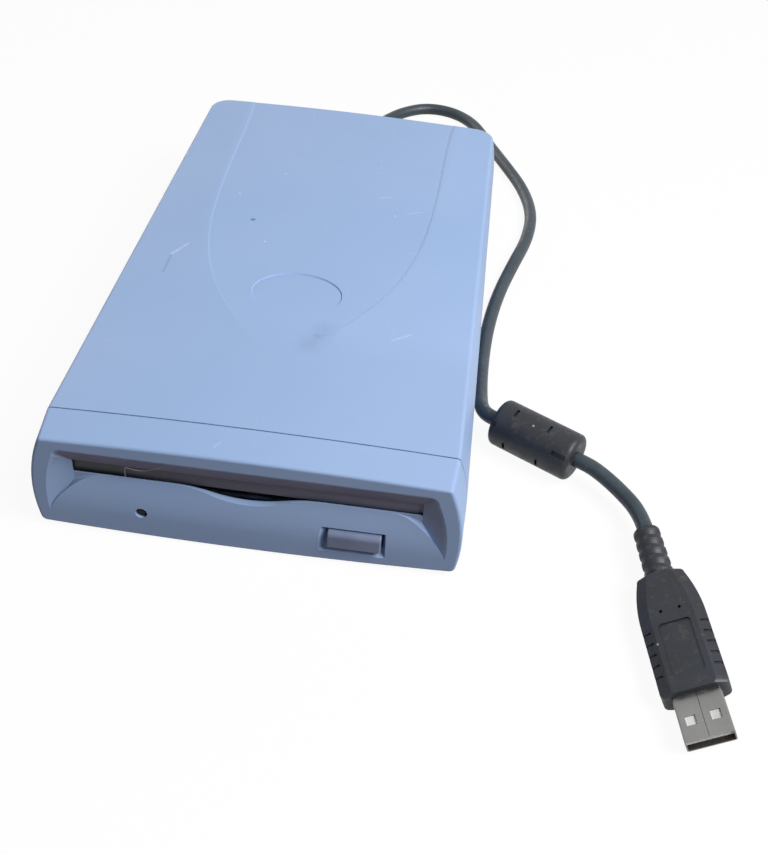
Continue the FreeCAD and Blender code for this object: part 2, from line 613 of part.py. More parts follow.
def front_bezel():
    shell = bezel_outer()
    wires = [section_wire(Y_FRONT + BEZEL_FACE, FRONT_SECTION, WALL),
             section_wire(Y_BEZEL_BACK + 1, SEAM_SECTION, WALL)]
    hollow = Part.makeLoft(wires, True, True)
    y_slot = Y_FRONT + FUNNEL_DEPTH
    slot_top = SLOT_BOTTOM_Z + SLOT_HEIGHT
    funnel = Part.makeLoft([funnel_outline(Y_FRONT, 0.0), funnel_outline(y_slot, 1.0)], True, True)
    through = Part.Face(funnel_outline(y_slot, 1.0)).extrude(V(0, BEZEL_FACE - FUNNEL_DEPTH + 1, 0))
    rim_plate = Part.Face(funnel_outline(Y_FRONT, 0.0)).extrude(V(0, -2, 0))
    shell = cut(shell, [hollow, funnel, through, rim_plate, lip_front_tool()])
    shell = fuse([shell] + lip_end_backing(y_slot) + door_ears() + led_socket() + bezel_hooks())
    tools = [button_pocket(), rod(LED_R + LED_CLEARANCE, V(LED_X, Y_FRONT - 1, LED_Z), V(LED_X, Y_FRONT + 9, LED_Z))]
    return cut(shell, tools)


def lip_end_backing(y_slot):
    """Thin web that closes the recess beside each lower end of the slot."""
    web = box(SLOT_HALF - 9.0, SLOT_HALF + 2.0, y_slot, Y_FRONT + BEZEL_FACE, 14.0, SLOT_BOTTOM_Z)
    return both_sides(web)


def door_ears():
    """Lugs behind the face that carry the door's pins."""
    inner_x = SLOT_HALF + DOOR_OVERLAP + DOOR_SPRING_ROOM
    y0, z = Y_FRONT + BEZEL_FACE, DOOR_PIVOT_Z
    y_pin = door_pivot().y
    ear = fuse([box(inner_x, inner_x + 1.6, y0 - 0.5, y_pin, z - 1.5, z + 1.5),
                rod(1.5, V(inner_x, y_pin, z), V(inner_x + 1.6, y_pin, z))])
    ear = ear.cut(rod(DOOR_PIN_R + RUNNING_CLEARANCE, V(inner_x - 1, y_pin, z), V(inner_x + 3, y_pin, z)))
    return both_sides(ear)


def led_socket():
    y0 = Y_FRONT + BEZEL_FACE
    return [rod(LED_R + 1.3, V(LED_X, y0 - 0.5, LED_Z), V(LED_X, y0 + 4.0, LED_Z))]


def bezel_hooks():
    """Snap tongues that reach into the covers, each with a nose."""
    hooks = []
    floor_z = CORNER_Z - BOTTOM_CROWN + WALL
    for x in (-30.0, 30.0):
        hooks.append(box(x - 4, x + 4, Y_BEZEL_BACK - 5, Y_SEAM + 7, 29.6, 30.7))
        hooks.append(box(x - 4, x + 4, Y_SEAM + 5.6, Y_SEAM + 7, 30.6, 31.3))
    for x in (-18.0, 0.0, 18.0):
        hooks.append(box(x - 3, x + 3, Y_BEZEL_BACK - 5, Y_SEAM + 5, floor_z + 0.6, floor_z + 1.7))
    for side in (-1, 1):
        inner, outer = sorted((side * 25.0, side * 35.0))
        hooks.append(box(inner, outer, Y_BEZEL_BACK - 6, Y_BEZEL_BACK - 4.6, 28.0, 31.5))
    for x in (-18.0, 0.0, 18.0):
        hooks.append(box(x - 3, x + 3, Y_BEZEL_BACK - 6, Y_BEZEL_BACK - 4.6, floor_z - 1, floor_z + 1.7))
    return hooks


def button_pocket():
    """Opening for the button: bevelled below and at the left, sharp above and at the right."""
    x0, x1 = BUTTON_X[0] - BUTTON_GAP, BUTTON_X[1] + BUTTON_GAP
    z0, z1 = BUTTON_Z[0] - BUTTON_GAP, BUTTON_Z[1] + POCKET_TOP_GAP
    y0, y1 = Y_FRONT - 0.01, Y_FRONT + BEZEL_FACE + 1
    well = box(x0, x1, Y_FRONT - 2, y1, z0, z1)
    bevel = POCKET_BEVEL

    def ring(y, grow):
        points = [V(x0 - grow, y, z0 - grow), V(x1 + grow * 0.4, y, z0 - grow),
                  V(x1 + grow * 0.4, y, z1), V(x0 - grow, y, z1)]
        return Part.makePolygon(points + [points[0]])

    flare = Part.makeLoft([ring(y0, bevel), ring(y0 + bevel, 0.02)], True, True)
    return fuse([well, flare])


def led_lens():
    """Clear light pipe: a domed tip behind the hole and a stepped tail."""
    y0 = Y_FRONT + LED_SINK
    y1 = Y_FRONT + BEZEL_FACE + 5.5
    tip = rod(LED_R, V(LED_X, y0, LED_Z), V(LED_X, y1, LED_Z))
    rim = [e for e in tip.Edges if abs(e.CenterOfMass.y - y0) < 0.1 and e.Length > LED_R]
    collar = rod(LED_R + 1.0, V(LED_X, y1 - 1.0, LED_Z), V(LED_X, y1, LED_Z))
    return fuse([tip.makeFillet(0.7, rim), collar])


# ================================================================ door
def door_pivot():
    y_face = Y_FRONT + BEZEL_FACE + DOOR_SET_BACK
    return V(0, y_face + DOOR_THICKNESS / 2, DOOR_PIVOT_Z)


def slot_door():
    """Flap with straight lower edge, hung on two pins at its upper corners."""
    pivot = door_pivot()
    half = SLOT_HALF + DOOR_OVERLAP
    y0, y1 = pivot.y - DOOR_THICKNESS / 2, pivot.y + DOOR_THICKNESS / 2
    plate = box(-half, half, y0, y1, DOOR_BOTTOM_Z, DOOR_PIVOT_Z)
    barrel = rod(DOOR_THICKNESS / 2 + 0.2, V(-half, pivot.y, pivot.z), V(half, pivot.y, pivot.z))
    pin_half = half + DOOR_SPRING_ROOM + 1.6
    pins = rod(DOOR_PIN_R, V(-pin_half, pivot.y, pivot.z), V(pin_half, pivot.y, pivot.z))
    ribs = [box(x - 0.4, x + 0.4, y1 - 0.1, y1 + 0.5, DOOR_BOTTOM_Z + 1.0, DOOR_PIVOT_Z) for x in (-30, -10, 10, 30)]
    return fuse([plate, barrel, pins] + ribs)


def door_spring():
    """Torsion spring round the door's left pin, with its leg on the back of the bezel's face."""
    pivot = door_pivot()
    end = -(SLOT_HALF + DOOR_OVERLAP + 0.3)
    outer = DOOR_SET_BACK + DOOR_THICKNESS / 2 - 0.05
    coil = tube(outer, DOOR_PIN_R + 0.1, V(end - 2.2, pivot.y, pivot.z), V(end, pivot.y, pivot.z))
    leg_x, leg_y = end - 1.9, pivot.y - outer + 0.2
    leg = rod(0.2, V(leg_x, leg_y, pivot.z + 0.1), V(leg_x, leg_y, pivot.z + 3.0))
    return fuse([coil, leg])


def eject_button():
    """Key cap with softened front edges, and the stem that clips to the slide plate."""
    x0, x1 = BUTTON_X
    z0, z1 = BUTTON_Z
    y0 = Y_FRONT - BUTTON_PROUD
    cap = box(x0, x1, y0, y0 + 8.0, z0, z1)
    top = [e for e in cap.Edges if abs(e.CenterOfMass.y - y0) < 0.01 and abs(e.CenterOfMass.z - z1) < 0.01]
    cap = cap.makeFillet(BUTTON_TOP_R, top)
    rim = [e for e in cap.Edges if abs(e.CenterOfMass.y - y0) < 0.01 and e.CenterOfMass.z < z1 - BUTTON_TOP_R - 0.2]
    cap = cap.makeFillet(0.5, rim)
    mid = (x0 + x1) / 2
    stem = box(mid - 4, mid + 4, y0 + 7.5, y0 + BUTTON_LENGTH, z0 + 0.6, z1 - 0.6)
    groove = box(mid - 3, mid + 3, y0 + BUTTON_LENGTH - 4, y0 + BUTTON_LENGTH + 1, z0 + 1.6, z0 + 2.5)
    return cut(fuse([cap, stem]), [groove])


# ================================================================ drive mechanism
def drive_frame():
    """Pressed steel chassis: two side rails joined by a deck with windows."""
    y0, y1 = FRAME_Y, FRAME_END_Y
    inner = FRAME_HALF - FRAME_SHEET
    rail = box(inner, FRAME_HALF, y0, y1, RAIL_BOTTOM_Z, RAIL_TOP_Z)
    deck = box(-inner - 0.1, inner + 0.1, y0, y1, DECK_Z, DECK_Z + FRAME_SHEET)
    back = box(-inner - 0.1, inner + 0.1, y1 - FRAME_SHEET, y1, DECK_Z, RAIL_TOP_Z)
    frame = fuse([deck, back] + both_sides(rail))
    tools = [rod(6.2, V(SPINDLE.x, SPINDLE.y, DECK_Z - 1), V(SPINDLE.x, SPINDLE.y, DECK_Z + 3)),
             box(RAIL_X - STEPPER_R - 1, RAIL_X + STEPPER_R + 1, STEPPER_Y - 1,
                 STEPPER_Y + STEPPER_LENGTH + 1, DECK_Z - 1, DECK_Z + 3),
             rounded_box(-9, 5, HEAD_Y - 6, HEAD_Y + 30, DECK_Z - 1, DECK_Z + 3, 2.0)]
    tools += [rod(SCREW_R + SCREW_CLEARANCE, V(x, y, DECK_Z - 1), V(x, y, DECK_Z + 3)) for x, y in DRIVE_SCREWS]
    for y in ROLLER_Y:
        guide = slanted_slot(inner - 1, FRAME_HALF + 1, (y, ROLLER_Z - HOLDER_DROP), (y, RAIL_TOP_Z + 3),
                             ROLLER_R + RUNNING_CLEARANCE * 2)
        tools += both_sides(guide)
    front_notch = box(BUTTON_X[0] - 3, BUTTON_X[1] + 3, y0 - 1, y0 + 9, DECK_Z - 1, DECK_Z + 3)
    led_notch = box(LED_X - 4, LED_X + 4, y0 - 1, y0 + 9, DECK_Z - 1, DECK_Z + 3)
    side_holes = [rod(1.5, V(-FRAME_HALF - 1, y, 12.0), V(FRAME_HALF + 1, y, 12.0)) for y in (y0 + 21.0, y0 + 91.0)]
    return cut(frame, tools + [front_notch, led_notch] + side_holes)


def drive_cover():
    """Thin steel lid over the mechanism, with a stiffening panel and a head window."""
    y0, y1 = FRAME_Y + 2, FRAME_END_Y
    half = FRAME_HALF - 0.4
    lid = box(-half, half, y0, y1, SHIELD_TOP_Z - SHEET, SHIELD_TOP_Z)
    sides = both_sides(box(half - SHEET, half, y0, y1, RAIL_TOP_Z, SHIELD_TOP_Z))
    back = box(-half, half, y1 - SHEET, y1, RAIL_TOP_Z, SHIELD_TOP_Z)
    window = rounded_box(-14, 14, HEAD_Y - 30, HEAD_Y + 30, SHIELD_TOP_Z - 2, SHIELD_TOP_Z + 1, 4.0)
    slots = [rounded_box(x - 8, x + 8, y1 - 20, y1 - 16, SHIELD_TOP_Z - 2, SHIELD_TOP_Z + 1, 1.9) for x in (-28, 28)]
    return cut(fuse([lid, back] + sides), [window] + slots)


def disk_holder():
    """Sheet cradle: roof with a head window, side walls and turned-in rails under the disk."""
    y0, y1 = HOLDER_Y
    outer = BAY_HALF + SHEET
    roof = box(-outer, outer, y0, y1, HOLDER_TOP_Z, HOLDER_TOP_Z + SHEET)
    side = box(BAY_HALF, outer, y0, y1, BAY_BOTTOM_Z - SHEET, HOLDER_TOP_Z + SHEET)
    rail = box(BAY_HALF - HOLDER_RAIL, outer, y0, y1, BAY_BOTTOM_Z - SHEET, BAY_BOTTOM_Z)
    cradle = fuse([roof] + both_sides(side) + both_sides(rail))
    window = rounded_box(-10, 10, HEAD_Y - HEAD_TRAVEL - 8, y1 + 6, HOLDER_TOP_Z - 1, HOLDER_TOP_Z + 2, 3.0)
    sweep = lever_sweep()
    holes = [rounded_box(x - 9, x + 9, y0 + 12, y0 + 24, HOLDER_TOP_Z - 1, HOLDER_TOP_Z + 2, 3.0) for x in (-24, 24)]
    return cut(cradle, [window, sweep] + holes)


def lever_sweep():
    """Curved window in the roof that the lever's pin sweeps through."""
    start = math.radians(LEVER_REST_ANGLE - LEVER_SWING - 8)
    end = math.radians(LEVER_REST_ANGLE + 8)
    centre = LEVER_PIVOT
    z = HOLDER_TOP_Z - 1

    def at(radius, angle):
        return V(centre.x + radius * math.cos(angle), centre.y + radius * math.sin(angle), z)

    mid = (start + end) / 2
    inner, outer = LEVER_LENGTH - 2.4, LEVER_LENGTH + 2.4
    edges = [Part.Arc(at(outer, start), at(outer, mid), at(outer, end)).toShape(),
             Part.LineSegment(at(outer, end), at(inner, end)).toShape(),
             Part.Arc(at(inner, end), at(inner, mid), at(inner, start)).toShape(),
             Part.LineSegment(at(inner, start), at(outer, start)).toShape()]
    return Part.Face(Part.Wire(edges)).extrude(V(0, 0, 4))


def holder_rollers():
    """Four pins on the cradle's sides; they ride in the slide's ramps and the frame's guides."""
    x0, x1 = BAY_HALF + SHEET, FRAME_HALF - 0.3
    pins = []
    for y in ROLLER_Y:
        pins += both_sides(rod(ROLLER_R, V(x0, y, ROLLER_Z), V(x1, y, ROLLER_Z)))
    return Part.makeCompound(pins)


def slide_plate():
    """Ejector slide: a U-shaped plate whose upturned sides carry the four ramps."""
    x0, x1 = SLIDE_WALL_X
    y0, y1 = SLIDE_Y
    wall = box(x0, x1, y0, y1, SLIDE_Z, HOLDER_TOP_Z - 0.2)
    strip = box(x1 - SLIDE_STRIP, x1, y0, y1, SLIDE_Z, SLIDE_Z + SHEET)
    front = box(-x1, x1, y0, y0 + SLIDE_BAND, SLIDE_Z, SLIDE_Z + SHEET)
    plate = fuse([front] + both_sides(wall) + both_sides(strip))
    ramps = []
    for y in ROLLER_Y:
        ramp = slanted_slot(x0 - 1, x1 + 1, (y, ROLLER_Z), (y + EJECT_TRAVEL, ROLLER_Z - HOLDER_DROP),
                            ROLLER_R + RUNNING_CLEARANCE * 2)
        ramps += both_sides(ramp)
    plate = cut(plate, ramps)
    mid = sum(BUTTON_X) / 2
    tongue_y = Y_FRONT - BUTTON_PROUD + BUTTON_LENGTH - 4
    tab_z = BUTTON_Z[0] + 1.7
    down = box(mid - 5, mid + 5, y0, y0 + SHEET, tab_z, SLIDE_Z + SHEET)
    tongue = box(mid - 2.8, mid + 2.8, tongue_y + 0.2, y0 + SHEET, tab_z, tab_z + 0.7)
    y_hook = y0 + SLIDE_BAND
    hook = box(SPRING_X - 1.5, SPRING_X + 1.5, y_hook - SHEET, y_hook, SLIDE_Z - 3.6, SLIDE_Z + 0.1)
    return fuse([plate, down, tongue, hook])


def spring_anchor():
    """End points of the eject spring: a post on the deck and the slide's hook."""
    x, z = SPRING_X, SLIDE_Z - 2.2
    return V(x, SLIDE_Y[0] + SLIDE_BAND + 15.0, z), V(x, SLIDE_Y[0] + SLIDE_BAND + 0.3, z)


def eject_spring():
    """Tension spring shown as its coil's outer envelope with a hook at each end."""
    post, hook = spring_anchor()
    coil = tube(1.9, 1.3, V(post.x, hook.y + 2.0, post.z), V(post.x, post.y - 2.0, post.z))
    ends = [rod(0.3, V(post.x + 1.6, hook.y, post.z), V(post.x + 1.6, hook.y + 2.3, post.z)),
            rod(0.3, V(post.x + 1.6, post.y - 2.3, post.z), V(post.x + 1.6, post.y - 0.1, post.z))]
    return fuse([coil] + ends)


def spring_post():
    """Riveted post on the deck that holds the fixed end of the eject spring."""
    post, hook = spring_anchor()
    top = post.z + 2.0
    return rod(1.0, V(post.x + 0.6, post.y + 1.0, DECK_Z + FRAME_SHEET), V(post.x + 0.6, post.y + 1.0, top))


def motor_board():
    """Steel-backed board of the spindle motor with its ring of coils."""
    z0 = DECK_Z + FRAME_SHEET
    half = MOTOR_BOARD_HALF
    board = rounded_box(-half, half, SPINDLE.y - half + 2, CLAMP_FRONT_Y, z0, z0 + 0.8, 3.0)
    hole = rod(4.2, V(SPINDLE.x, SPINDLE.y, z0 - 1), V(SPINDLE.x, SPINDLE.y, z0 + 3))
    return board.cut(hole)


def motor_coils():
    """Nine flat coils of the spindle motor, spread evenly round the shaft."""
    z0 = DECK_Z + FRAME_SHEET + 0.8
    coils = []
    for i in range(9):
        angle = 2 * math.pi * i / 9
        centre = V(SPINDLE.x + COIL_RING_R * math.cos(angle), SPINDLE.y + COIL_RING_R * math.sin(angle), z0)
        coils.append(tube(COIL_R, 1.8, centre, centre + V(0, 0, 0.8)))
    return Part.makeCompound(coils)


def spindle_bearing():
    """Flanged sleeve pressed into the deck; the rotor's shaft turns in it."""
    base = V(SPINDLE.x, SPINDLE.y, DECK_Z - 1.6)
    flange = rod(6.0, base, base + V(0, 0, 1.5))
    sleeve = rod(4.1, base, base + V(0, 0, 4.0))
    bore = rod(SPINDLE_PIN_R + RUNNING_CLEARANCE, base - V(0, 0, 1), base + V(0, 0, 10))
    return fuse([flange, sleeve]).cut(bore)


def spindle_rotor():
    """Cup-shaped rotor with its shaft and the raised hub that the disk sits on."""
    x, y = SPINDLE.x, SPINDLE.y
    z0, z1 = ROTOR_Z
    profile = [V(x, y, DECK_Z - 1.4), V(x + SPINDLE_PIN_R, y, DECK_Z - 1.4),
               V(x + SPINDLE_PIN_R, y, z0 + 1.2), V(x + ROTOR_R - ROTOR_RIM, y, z0 + 1.6),
               V(x + ROTOR_R - ROTOR_RIM, y, z0), V(x + ROTOR_R, y, z0), V(x + ROTOR_R, y, z1 - 1.0),
               V(x + ROTOR_R - 1.0, y, z1), V(x + HUB_R + 1.5, y, z1), V(x + HUB_R, y, z1 + 0.6),
               V(x + HUB_R, y, HUB_TOP_Z), V(x + HUB_R - 2.5, y, HUB_TOP_Z),
               V(x + HUB_R - 2.5, y, HUB_TOP_Z - 1.0), V(x + SPINDLE_PIN_R, y, HUB_TOP_Z - 1.0),
               V(x + SPINDLE_PIN_R, y, SPINDLE_PIN_TOP_Z - 0.6), V(x + SPINDLE_PIN_R - 0.6, y, SPINDLE_PIN_TOP_Z),
               V(x, y, SPINDLE_PIN_TOP_Z)]
    face = Part.Face(Part.makePolygon(profile + [profile[0]]))
    return face.revolve(V(x, y, 0), Z_AXIS, 360)


def chucking_magnet():
    """Ring magnet let into the hub's top; it holds the disk's steel centre."""
    base = V(SPINDLE.x, SPINDLE.y, HUB_TOP_Z - 1.0)
    return tube(HUB_R - 2.6, SPINDLE_PIN_R + 1.2, base, base + V(0, 0, 0.8)).cut(
        rod(1.2, base + V(6.6, 0, -1), base + V(6.6, 0, 2)))


def drive_pin():
    """Pin that catches the slot in the disk's centre and turns it."""
    base = V(SPINDLE.x + 6.6, SPINDLE.y, HUB_TOP_Z - 1.0)
    pin = rod(1.0, base, base + V(0, 0, 1.8))
    rim = [e for e in pin.Edges if e.CenterOfMass.z > base.z + 1.7 and e.Length > 1.0]
    return pin.makeFillet(0.4, rim)


def stepper_motor():
    """Can motor of the head drive with its front boss and terminal block."""
    start = V(RAIL_X, STEPPER_Y, RAIL_Z)
    can = rod(STEPPER_R, start, start + V(0, STEPPER_LENGTH, 0))
    rims = [e for e in can.Edges if e.Length > 2 * STEPPER_R]
    can = can.makeFillet(0.8, rims)
    boss = rod(3.0, start - V(0, 1.5, 0), start + V(0, 0.5, 0))
    block = box(RAIL_X - 4, RAIL_X + 4, start.y + 5, start.y + 12, RAIL_Z + STEPPER_R - 1, RAIL_Z + STEPPER_R + 1.6)
    bore = rod(ROD_R + RUNNING_CLEARANCE, start - V(0, 2, 0), start + V(0, 6, 0))
    return fuse([can, boss, block]).cut(bore)


def stepper_bracket():
    """Bent plate that screws the motor's face to the deck."""
    y1 = STEPPER_Y
    z0 = DECK_Z + FRAME_SHEET
    plate = box(RAIL_X - 9, RAIL_X + 9, y1 - 1.0, y1, z0, RAIL_Z + 7)
    foot = box(RAIL_X - 9, RAIL_X + 9, y1 - 7.0, y1 - 0.5, z0, z0 + 1.0)
    hole = rod(3.05, V(RAIL_X, y1 - 2, RAIL_Z), V(RAIL_X, y1 + 1, RAIL_Z))
    return fuse([plate, foot]).cut(hole)


def lead_screw():
    """Head drive shaft from the motor to its front pivot, with coned ends."""
    y0, y1 = ROD_FRONT_Y, STEPPER_Y + 5.0
    shaft = rod(ROD_R, V(RAIL_X, y0, RAIL_Z), V(RAIL_X, y1, RAIL_Z))
    rims = [e for e in shaft.Edges if abs(e.CenterOfMass.y - y0) < 0.1 and e.Length > ROD_R]
    return shaft.makeChamfer(0.6, rims)


def guide_rod():
    return rod(ROD_R, V(-RAIL_X, ROD_FRONT_Y, RAIL_Z), V(-RAIL_X, STEPPER_Y + 2.0, RAIL_Z))


def rail_block(x, y0, y1, bore):
    """Block on the deck that holds one end of the rod or screw."""
    z0 = DECK_Z + FRAME_SHEET
    block = rounded_box(x - 3.2, x + 3.2, y0, y1, z0 - 1.0, RAIL_Z + 3.2, 1.5, "y")
    block = block.common(box(x - 4, x + 4, y0, y1, z0, RAIL_Z + 4))
    return block.cut(rod(bore, V(x, y0 - 1, RAIL_Z), V(x, y1 + 1, RAIL_Z)))


def rod_clamps():
    ends = [(CLAMP_FRONT_Y, CLAMP_FRONT_Y + 3.3), (STEPPER_Y - 1.0, STEPPER_Y + 2.5)]
    return Part.makeCompound([rail_block(-RAIL_X, y0, y1, ROD_R) for y0, y1 in ends])


def screw_pivot():
    return rail_block(RAIL_X, CLAMP_FRONT_Y, CLAMP_FRONT_Y + 3.3, ROD_R + RUNNING_CLEARANCE)


def head_carriage():
    """Moulded carriage: a nose under the disk, a cross beam on both rails, arm posts."""
    y = HEAD_Y
    nose = rounded_box(-6.5, 6.5, y - 5, y + 14, 15.9, LOWER_HEAD_Z - 2.3, 2.0)
    beam = box(-RAIL_X - 3.4, RAIL_X + 3.4, y + 6, y + 20, RAIL_Z - 3.2, RAIL_Z + 3.0)
    spine = box(-6.5, 6.5, y + 8, ARM_PIVOT.y + 3, RAIL_Z - 1.0, RAIL_Z + 3.0)
    post = box(6.0, 8.0, ARM_PIVOT.y - 3, ARM_PIVOT.y + 3, RAIL_Z, ARM_PIVOT.z + 1.8)
    carriage = fuse([nose, beam, spine] + both_sides(post))
    bores = [rod(ROD_R + RUNNING_CLEARANCE, V(x, y, RAIL_Z), V(x, y + 25, RAIL_Z)) for x in (-RAIL_X, RAIL_X)]
    hinge = rod(ARM_PIN_R + RUNNING_CLEARANCE, V(-12, ARM_PIVOT.y, ARM_PIVOT.z), V(12, ARM_PIVOT.y, ARM_PIVOT.z))
    pocket = box(-3, 3, y + 8.5, y + 18, RAIL_Z + 1.0, RAIL_Z + 4)
    return cut(carriage, bores + [hinge, pocket])


def head_pad(z0, z1):
    half_x, half_y = HEAD_PAD_HALF
    return rounded_box(-half_x, half_x, HEAD_Y - half_y, HEAD_Y + half_y, z0, z1, 1.0)


def lower_head():
    return head_pad(LOWER_HEAD_Z - 2.3, LOWER_HEAD_Z)


def lifted(shape):
    """The arm's parts are laid out closed on the disk and shown lifted."""
    result = shape.copy()
    result.rotate(ARM_PIVOT, X_AXIS, -ARM_LIFT)
    return result


def upper_head_arm():
    """Sprung arm over the disk: a slim plate, its root block and the hinge pins."""
    p = ARM_PIVOT
    plate = rounded_box(-5.4, 5.4, HEAD_Y - 5.5, p.y - 1, p.z - 0.6, p.z + 0.6, 2.0)
    root = box(-5.4, 5.4, p.y - 4, p.y + 1.6, p.z - 1.6, p.z + 1.6)
    pins = rod(ARM_PIN_R, V(-7.8, p.y, p.z), V(7.8, p.y, p.z))
    window = rounded_box(-2.6, 2.6, HEAD_Y + 8, p.y - 7, p.z - 2, p.z + 2, 1.2)
    return lifted(cut(fuse([plate, root, pins]), [window]))


def upper_head():
    return lifted(head_pad(LOWER_HEAD_Z + HEAD_GAP, ARM_PIVOT.z - 0.6))


def shutter_lever():
    """Lever on the cradle's roof: hub, tapered arm and the pin that opens the disk's shutter."""
    z0 = HOLDER_TOP_Z + SHEET + 0.1
    angle = math.radians(LEVER_REST_ANGLE)
    tip = LEVER_PIVOT + V(math.cos(angle), math.sin(angle), 0) * LEVER_LENGTH
    across = V(-math.sin(angle), math.cos(angle), 0)
    at = V(0, 0, z0)
    arm = prism([LEVER_PIVOT + across * 3.0 + at, LEVER_PIVOT - across * 3.0 + at,
                 tip - across * 1.6 + at, tip + across * 1.6 + at], V(0, 0, 1.0))
    hub = rod(3.6, LEVER_PIVOT + at, LEVER_PIVOT + at + V(0, 0, 1.6))
    knob = rod(2.0, tip + at, tip + at + V(0, 0, 1.0))
    pin = rod(1.2, tip + V(0, 0, BAY_BOTTOM_Z + 0.9), tip + at + V(0, 0, 0.5))
    bore = rod(1.5 + RUNNING_CLEARANCE, LEVER_PIVOT + V(0, 0, z0 - 2), LEVER_PIVOT + V(0, 0, z0 + 4))
    return fuse([arm, hub, knob, pin]).cut(bore)


def lever_stud():
    """Headed stud on the cradle that the lever turns on."""
    base = LEVER_PIVOT + V(0, 0, HOLDER_TOP_Z + SHEET)
    return fuse([rod(1.5, base, base + V(0, 0, 3.4)), rod(2.6, base + V(0, 0, 3.3), base + V(0, 0, 3.9))])


def lever_spring():
    """Torsion spring over the lever's hub, shown as its coil with one leg to the cradle."""
    base = LEVER_PIVOT + V(0, 0, HOLDER_TOP_Z + SHEET + 1.8)
    coil = tube(2.7, 2.0, base, base + V(0, 0, 1.4))
    reach = V(4.6, 3.4, 0.3)
    leg = rod(0.25, base + V(1.4, 1.8, 0.3), base + reach)
    foot = rod(0.25, base + reach, base + V(reach.x, reach.y, -1.8))
    return fuse([coil, leg, foot])


# ================================================================ electronics

def logic_board():
    """Control board under the deck with its packages and the ribbon socket."""
    y0, y1 = LOGIC_Y
    top = LOGIC_Z + BOARD
    board = box(-LOGIC_HALF, LOGIC_HALF, y0, y1, LOGIC_Z, top)
    chips = [box(-8, 6, y0 + 28, y0 + 42, top, top + 1.2),
             box(14, 22, y0 + 10, y0 + 20, top, top + 1.0),
             box(-26, -18, y0 + 14, y0 + 20, top, top + 1.0)]
    posts = [rod(1.5, V(x, y, top), V(x, y, DECK_Z)) for x in (-LOGIC_HALF + 4, LOGIC_HALF - 4)
             for y in (y0 + 8, y1 - 10)]
    return fuse([board] + chips + posts)


def bridge_board():
    """USB bridge board behind the drive, on four posts."""
    z0, z1 = BRIDGE_Z, BRIDGE_Z + BOARD
    y0, y1 = BRIDGE_Y
    board = box(-BRIDGE_HALF, BRIDGE_HALF, y0, y1, z0, z1)
    parts = [box(8, 17, y0 + 9, y0 + 18, z1, z1 + 1.4), box(20, 27, y0 + 5, y0 + 9, z1, z1 + 1.0),
             box(-30, -24, y0 + 9, y0 + 13, z1, z1 + 1.2), rod(2.5, V(23, y0 + 16, z1), V(23, y0 + 16, z1 + 5.5)),
             rounded_box(-2, 3, y0 + 6, y0 + 16, z1, z1 + 3.2, 2.4)]
    holes = [rod(1.1, V(x, y, z0 - 1), V(x, y, z1 + 1)) for x, y in BRIDGE_POSTS]
    return cut(fuse([board] + parts), holes)


def board_screws():
    """Four small screws that hold the bridge board to its posts."""
    z1 = BRIDGE_Z + BOARD
    screws = []
    for x, y in BRIDGE_POSTS:
        head = rod(1.8, V(x, y, z1), V(x, y, z1 + 1.2))
        screws.append(fuse([head, rod(0.85, V(x, y, BRIDGE_Z - 2.5), V(x, y, z1 + 0.5))]))
    return Part.makeCompound(screws)


def cord_connector():
    """White plug-in connector on the bridge board that takes the cord's wires."""
    z1 = BRIDGE_Z + BOARD
    y1 = BRIDGE_Y[1] - 0.5
    shroud = box(EXIT_X - 5.5, EXIT_X + 5.5, y1 - 6, y1, z1, z1 + 4.5)
    return cut(shroud, [box(EXIT_X - 4.5, EXIT_X + 4.5, y1 - 5, y1 - 1, z1 + 1.2, z1 + 6)])


def ribbon_cable():
    """Flat flex between the two boards, folded once."""
    y0 = FRAME_END_Y - 6
    y_bend, y1 = BRIDGE_Y[0], BRIDGE_Y[0] + 4.5
    z0, z1 = LOGIC_Z + BOARD, BRIDGE_Z + BOARD
    t = RIBBON_THICKNESS
    path = [(y0, z0), (y_bend, z0), (y_bend, z1), (y1, z1),
            (y1, z1 + t), (y_bend - t, z1 + t), (y_bend - t, z0 + t), (y0, z0 + t)]
    return prism([V(-RIBBON_HALF, y, z) for y, z in path], V(2 * RIBBON_HALF, 0, 0))


def led_diode():
    """Round LED on its little holder at the frame's front, behind the light pipe."""
    y0 = Y_FRONT + BEZEL_FACE + 5.8
    body = rod(1.5, V(LED_X, y0, LED_Z), V(LED_X, y0 + 4, LED_Z))
    tip = [e for e in body.Edges if abs(e.CenterOfMass.y - y0) < 0.1 and e.Length > 1.5]
    body = body.makeFillet(1.0, tip)
    flange = rod(1.9, V(LED_X, y0 + 4, LED_Z), V(LED_X, y0 + 5, LED_Z))
    holder = box(LED_X - 3, LED_X + 3, y0 + 4.6, y0 + 8, LED_Z - 3.0, LED_Z + 2.4)
    return fuse([body, flange, holder])


def sensor_switches():
    """Three little switches at the cradle's front: disk in, write protect, density."""
    z0 = DECK_Z + FRAME_SHEET
    switches = []
    rear_x, rear_y = BAY_HALF - 5.5, HOLDER_Y[1] + 4.0
    for x, y in ((-24.0, FRAME_Y + 7.5), (-rear_x, rear_y), (rear_x, rear_y)):
        body = box(x - 2.5, x + 2.5, y - 2, y + 2, z0, z0 + 5.0)
        switches.append(fuse([body, rod(0.6, V(x, y, z0 + 4.9), V(x, y, z0 + 6.0))]))
    return Part.makeCompound(switches)


# ================================================================ cord and plug
def corner_arc(before, corner, after):
    """Tangent arc at a route point, as large as its two runs allow."""
    u = (before - corner)
    w = (after - corner)
    reach = 0.45 * min(u.Length, w.Length)
    u.normalize()
    w.normalize()
    half_turn = (math.pi - u.getAngle(w)) / 2
    radius = reach / math.tan(half_turn)
    start, end = corner + u * reach, corner + w * reach
    bisector = (u + w).normalize()
    middle = corner + bisector * (radius / math.cos(half_turn) - radius)
    return start, middle, end, radius


